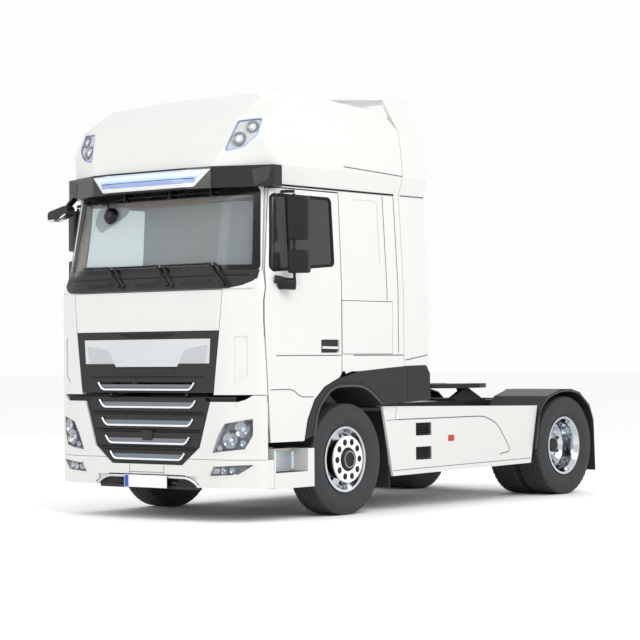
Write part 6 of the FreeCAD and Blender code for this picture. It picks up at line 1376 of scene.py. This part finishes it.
for side, tag in SIDES:
    mouth = dense(bent(MOUTH, 0.24, 8), 0.05, False)
    sweep(f"arch_edge_{tag}", flank(mouth, side, FLANK + 0.001, -0.008, 0.006),
          oval(0.018, 0.012, 10, -0.004), edge_sheen, "cab", "charcoal_plastic")
    # Painted shade: a black strip along the arch's crease stands for the shade in it.
    crease = dense(bent(CREASE, 0.24, 8), 0.05, False)
    sweep(f"arch_crease_{tag}", flank(crease, side), strip(0.007, 0.0012), seal_rubber, "cab",
          "charcoal_plastic")
    joint = [(2.240, up) for up in (1.005, 1.10, 1.20, 1.33)]
    sweep(f"arch_joint_{tag}", flank(joint, side), strip(0.006, 0.0012), seal_rubber, "cab",
          "charcoal_plastic")
    low, high = between(side, 0.600, 0.006)
    block(f"wheelhouse_shield_{tag}", (low, FACE + 0.800, 0.930), (high, FACE + 2.020, 1.094),
          0.001, gloss_black, "chassis", "black_gloss")
    guard = dense(bent(GUARD, 0.12), 0.06, False)
    sweep(f"guard_edge_{tag}", flank(guard, side, FLANK + 0.001, 0.0, -0.008),
          oval(0.014, 0.010, 10, -0.003), edge_sheen, "chassis", "charcoal_plastic")

# Side skirts. White panels with a pressed crease, two slatted vents, and an orange-red marker
# lamp on each side.
SKIRT_CREASE = [(2.125, 0.845), (3.552, 0.845), (3.778, 0.760), (3.900, 0.617), (4.013, 0.483),
                (3.809, 0.461)]
SKIRT_JOINTS = (((1.950, 0.842), (2.125, 0.845)), ((2.090, 0.845), (2.110, 0.968)),
                ((2.060, 0.372), (4.370, 0.398)))
MARKER = [(2.932, 0.618, 0.014), (3.028, 0.618, 0.014), (3.028, 0.677, 0.014),
          (2.932, 0.677, 0.014)]
VENTS = ((0.458, 0.580), (0.686, 0.807))
SLATS = 6
# Moulded lens: a deep orange red, glossy and lit a little unevenly.
skirt_lens = grain(finish("orange_red_lens", "#ad2f0c", 0.25), 0.005, 0.0003,
                   ("#9a2607", "#b4340e"), (0.2, 0.3), patch=0.04)
slat_shape = bmesh.new()
bmesh.ops.create_cube(slat_shape, size=1.0)
for corner in slat_shape.verts:
    p = corner.co
    corner.co = (p.x * 0.020, p.y * 0.250, p.z * 0.005 + p.x * 0.01)
slat_unit = show(bpy.data.objects.new("vent_slat", mesh_of("vent_slat", slat_shape)))
for side, tag in SIDES:
    skirt_side = skin(tag, "side_skirts")
    # Painted shade: a grey strip along the pressed crease stands for the shade in it.
    seam(f"skirt_crease_{tag}", skirt_side, bent(SKIRT_CREASE, 0.12), 0.010, 0.0012, joint_grey,
         "chassis", "black_paint")
    for k, ends in enumerate(SKIRT_JOINTS):
        seam(f"skirt_joint_{tag}_{k}", skirt_side, ends, 0.006, 0.001, joint_grey, "chassis",
             "black_paint")
    tile(f"skirt_marker_{tag}", outline(MARKER, 0.02), skirt_side, 0.006, 0.002, skirt_lens,
         "chassis", "red_lens")
    spots = [(1.192 * side, FACE + 2.535, low + (high - low) * (k + 0.5) / SLATS)
             for low, high in VENTS for k in range(SLATS)]
    turn = (0.0, 0.0, 0.0 if side > 0 else math.pi)
    slats = repeats(f"vent_slats_{tag}", slat_unit, spots, [turn] * len(spots), handle_dark)
    fit(slats, "chassis", "charcoal_plastic")
    near, far = between(side, 1.150, 0.008)
    # Painted shade: a black back behind each vent's slats stands for the shade inside it.
    for k, (low, high) in enumerate(VENTS):
        block(f"vent_back_{tag}_{k}", (near, FACE + 2.400, low - 0.012),
              (far, FACE + 2.670, high + 0.012), 0.001, gloss_black, "chassis", "black_gloss")
bpy.data.objects.remove(slat_unit)

# Steps. A white moulded box with a bright kick plate behind the tread, and rubber studs on the
# tread for grip.
STUD_ROWS = 5
STUDS_A_ROW = 12
TREAD_UP = 0.4265
# Pressed aluminium dulled by shoes: a cool light grey with soft patches.
step_bright = grain(finish("pressed_step_aluminium", "#c3ccd4", 0.3, Metallic=0.7), 0.006, 0.0002,
                    ("#b4bfc9", "#d3dbe1"), (0.22, 0.4), patch=0.15)
stud_unit = knob("stud_unit", [(0.008, 0.0), (0.008, 0.003), (0.005, 0.005)], 8)
for side, tag in SIDES:
    spots = []
    for i in range(STUD_ROWS):
        reach = 1.050 + i * 0.042
        for j in range(STUDS_A_ROW):
            back = 0.345 + j * 0.036
            if back < 0.800 - (1.24 - reach) * 0.3:
                spots.append((reach * side, FACE + back, TREAD_UP))
    studs = repeats(f"step_studs_{tag}", stud_unit, spots, [(0.0, 0.0, 0.0)] * len(spots),
                    bellow_rubber)
    fit(studs, "chassis", "bellow_rubber")
    way = bent([(1.205, 0.330), (1.060, 0.334), (1.060, 0.766), (1.205, 0.774)], 0.05, 8)
    spots = [Vector((p.x * side, FACE + p.y, 0.522)) for p in way]
    plate = []
    for k, spot in enumerate(spots):
        ahead = spots[min(k + 1, len(spots) - 1)] - spots[max(k - 1, 0)]
        plate.append((spot, Vector((ahead.y, -ahead.x, 0.0)).normalized() * side))
    sweep(f"step_kick_plate_{tag}", plate, [(-0.080, -0.001), (0.080, -0.001), (0.080, 0.002),
                                            (-0.080, 0.002)], step_bright, "chassis",
          "polished_rim")
bpy.data.objects.remove(stud_unit)

# Cab's back wall. White painted sheet steel, part of the welded shell. Beads pressed across it
# keep it from drumming.
BEADS = 5
BEAD_SECTION = [(-0.024, -0.002), (-0.012, 0.007), (0.012, 0.007), (0.024, -0.002)]
back_wall = skin("rear", "cab_shell")
for k in range(BEADS):
    up = 1.720 + 0.300 * k
    sweep(f"back_bead_{k}", line(back_wall, [(-0.900, up), (0.900, up)], 0.10), BEAD_SECTION,
          white_paint, "cab", "white_paint")

# Tail. On each side a red acrylic lamp unit with an amber and a clear field, screwed to the
# frame's end.
TAIL_LOW = 0.775
TAIL_HIGH = 0.865
# Dyed lens with a ribbed inside: a deep glossy red.
red_lens = grain(finish("red_lamp_acrylic", "#a01214", 0.12, Coat_Weight=0.6), 0.006, 0.0005,
                 ("#8d0f11", "#b4181a"), (0.08, 0.2), patch=0.08)
coat(red_lens, "tail_lamps")
tail_rear = skin("rear", "tail_lamps")
for side, tag in SIDES:
    for k, (low, high, material) in enumerate(((0.685, 0.765, amber_lens),
                                               (0.590, 0.650, bulb_glass))):
        field = [(low, TAIL_LOW, 0.008), (high, TAIL_LOW, 0.008), (high, TAIL_HIGH, 0.008),
                 (low, TAIL_HIGH, 0.008)]
        tile(f"tail_field_{tag}_{k}", outline(field, 0.03, side), tail_rear, 0.0003, 0.002,
             material, "chassis", "red_lens", soft=0.001)

# Cab interior. The dashboard is moulded in grained plastic and fixed across the front wall, and
# the steering wheel has the same colour and grain.

# Soft moulded grain: a warm dark brown that never shines into the glass.
dash_plastic = grain(finish("grained_dashboard_plastic", "#38322d", 0.6), 0.002, 0.0003,
                     ("#332d29", "#403a34"), (0.52, 0.68), patch=0.3)
coat(dash_plastic, "dashboard", "steering_wheel")

# Seats and bunk. Foam in woven cloth: a crowned cushion and back on each stand, and a quilted
# mattress over the lockers.
SEAT_INNER = 0.40
SEAT_OUTER = 0.88
# Woven cloth: dark brown with a light nap along its edges.
seat_cloth = grain(finish("woven_seat_cloth", "#3b3531", 0.9, Sheen_Weight=0.4), 0.0015, 0.0005,
                   ("#342f2b", "#443d38"), (0.82, 0.95), patch=0.05)


def pad(name, low, high, crown):
    """A stuffed block: its faces swell by crown and its sides pull in between the corners."""
    shape = bmesh.new()
    bmesh.ops.create_cube(shape, size=2.0)
    bmesh.ops.subdivide_edges(shape, edges=shape.edges, cuts=9, use_grid_fill=True)
    middle = (Vector(low) + Vector(high)) / 2
    reach = (Vector(high) - Vector(low)) / 2
    for corner in shape.verts:
        p = corner.co
        place = []
        for axis in range(3):
            one, two = (p[other] for other in range(3) if other != axis)
            full = (1 - one ** 4) * (1 - two ** 4)
            place.append(middle[axis] + p[axis] * (reach[axis] - crown + crown * full))
        corner.co = place
    piece = tidy(name, mesh_of(name, shape), seat_cloth, 60.0)
    smooth = piece.modifiers.new("round", "SUBSURF")
    smooth.levels = 1
    smooth.render_levels = 1
    fit(piece, "cab", "seat_fabric")
    return piece


for side, tag in SIDES:
    inner, outer = sorted((SEAT_INNER * side, SEAT_OUTER * side))
    cushion = pad(f"seat_cushion_{tag}", (inner, FACE + 0.90, 1.76), (outer, FACE + 1.385, 1.90),
                  0.025)
    pad(f"seat_back_{tag}", (inner, FACE + 1.26, 1.88), (outer, FACE + 1.39, 2.62), 0.02)
    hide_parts("seats")
mattress = pad("mattress", (-1.15, FACE + 1.56, 1.96), (1.15, FACE + 2.135, 2.10), 0.02)
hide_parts("bunk")
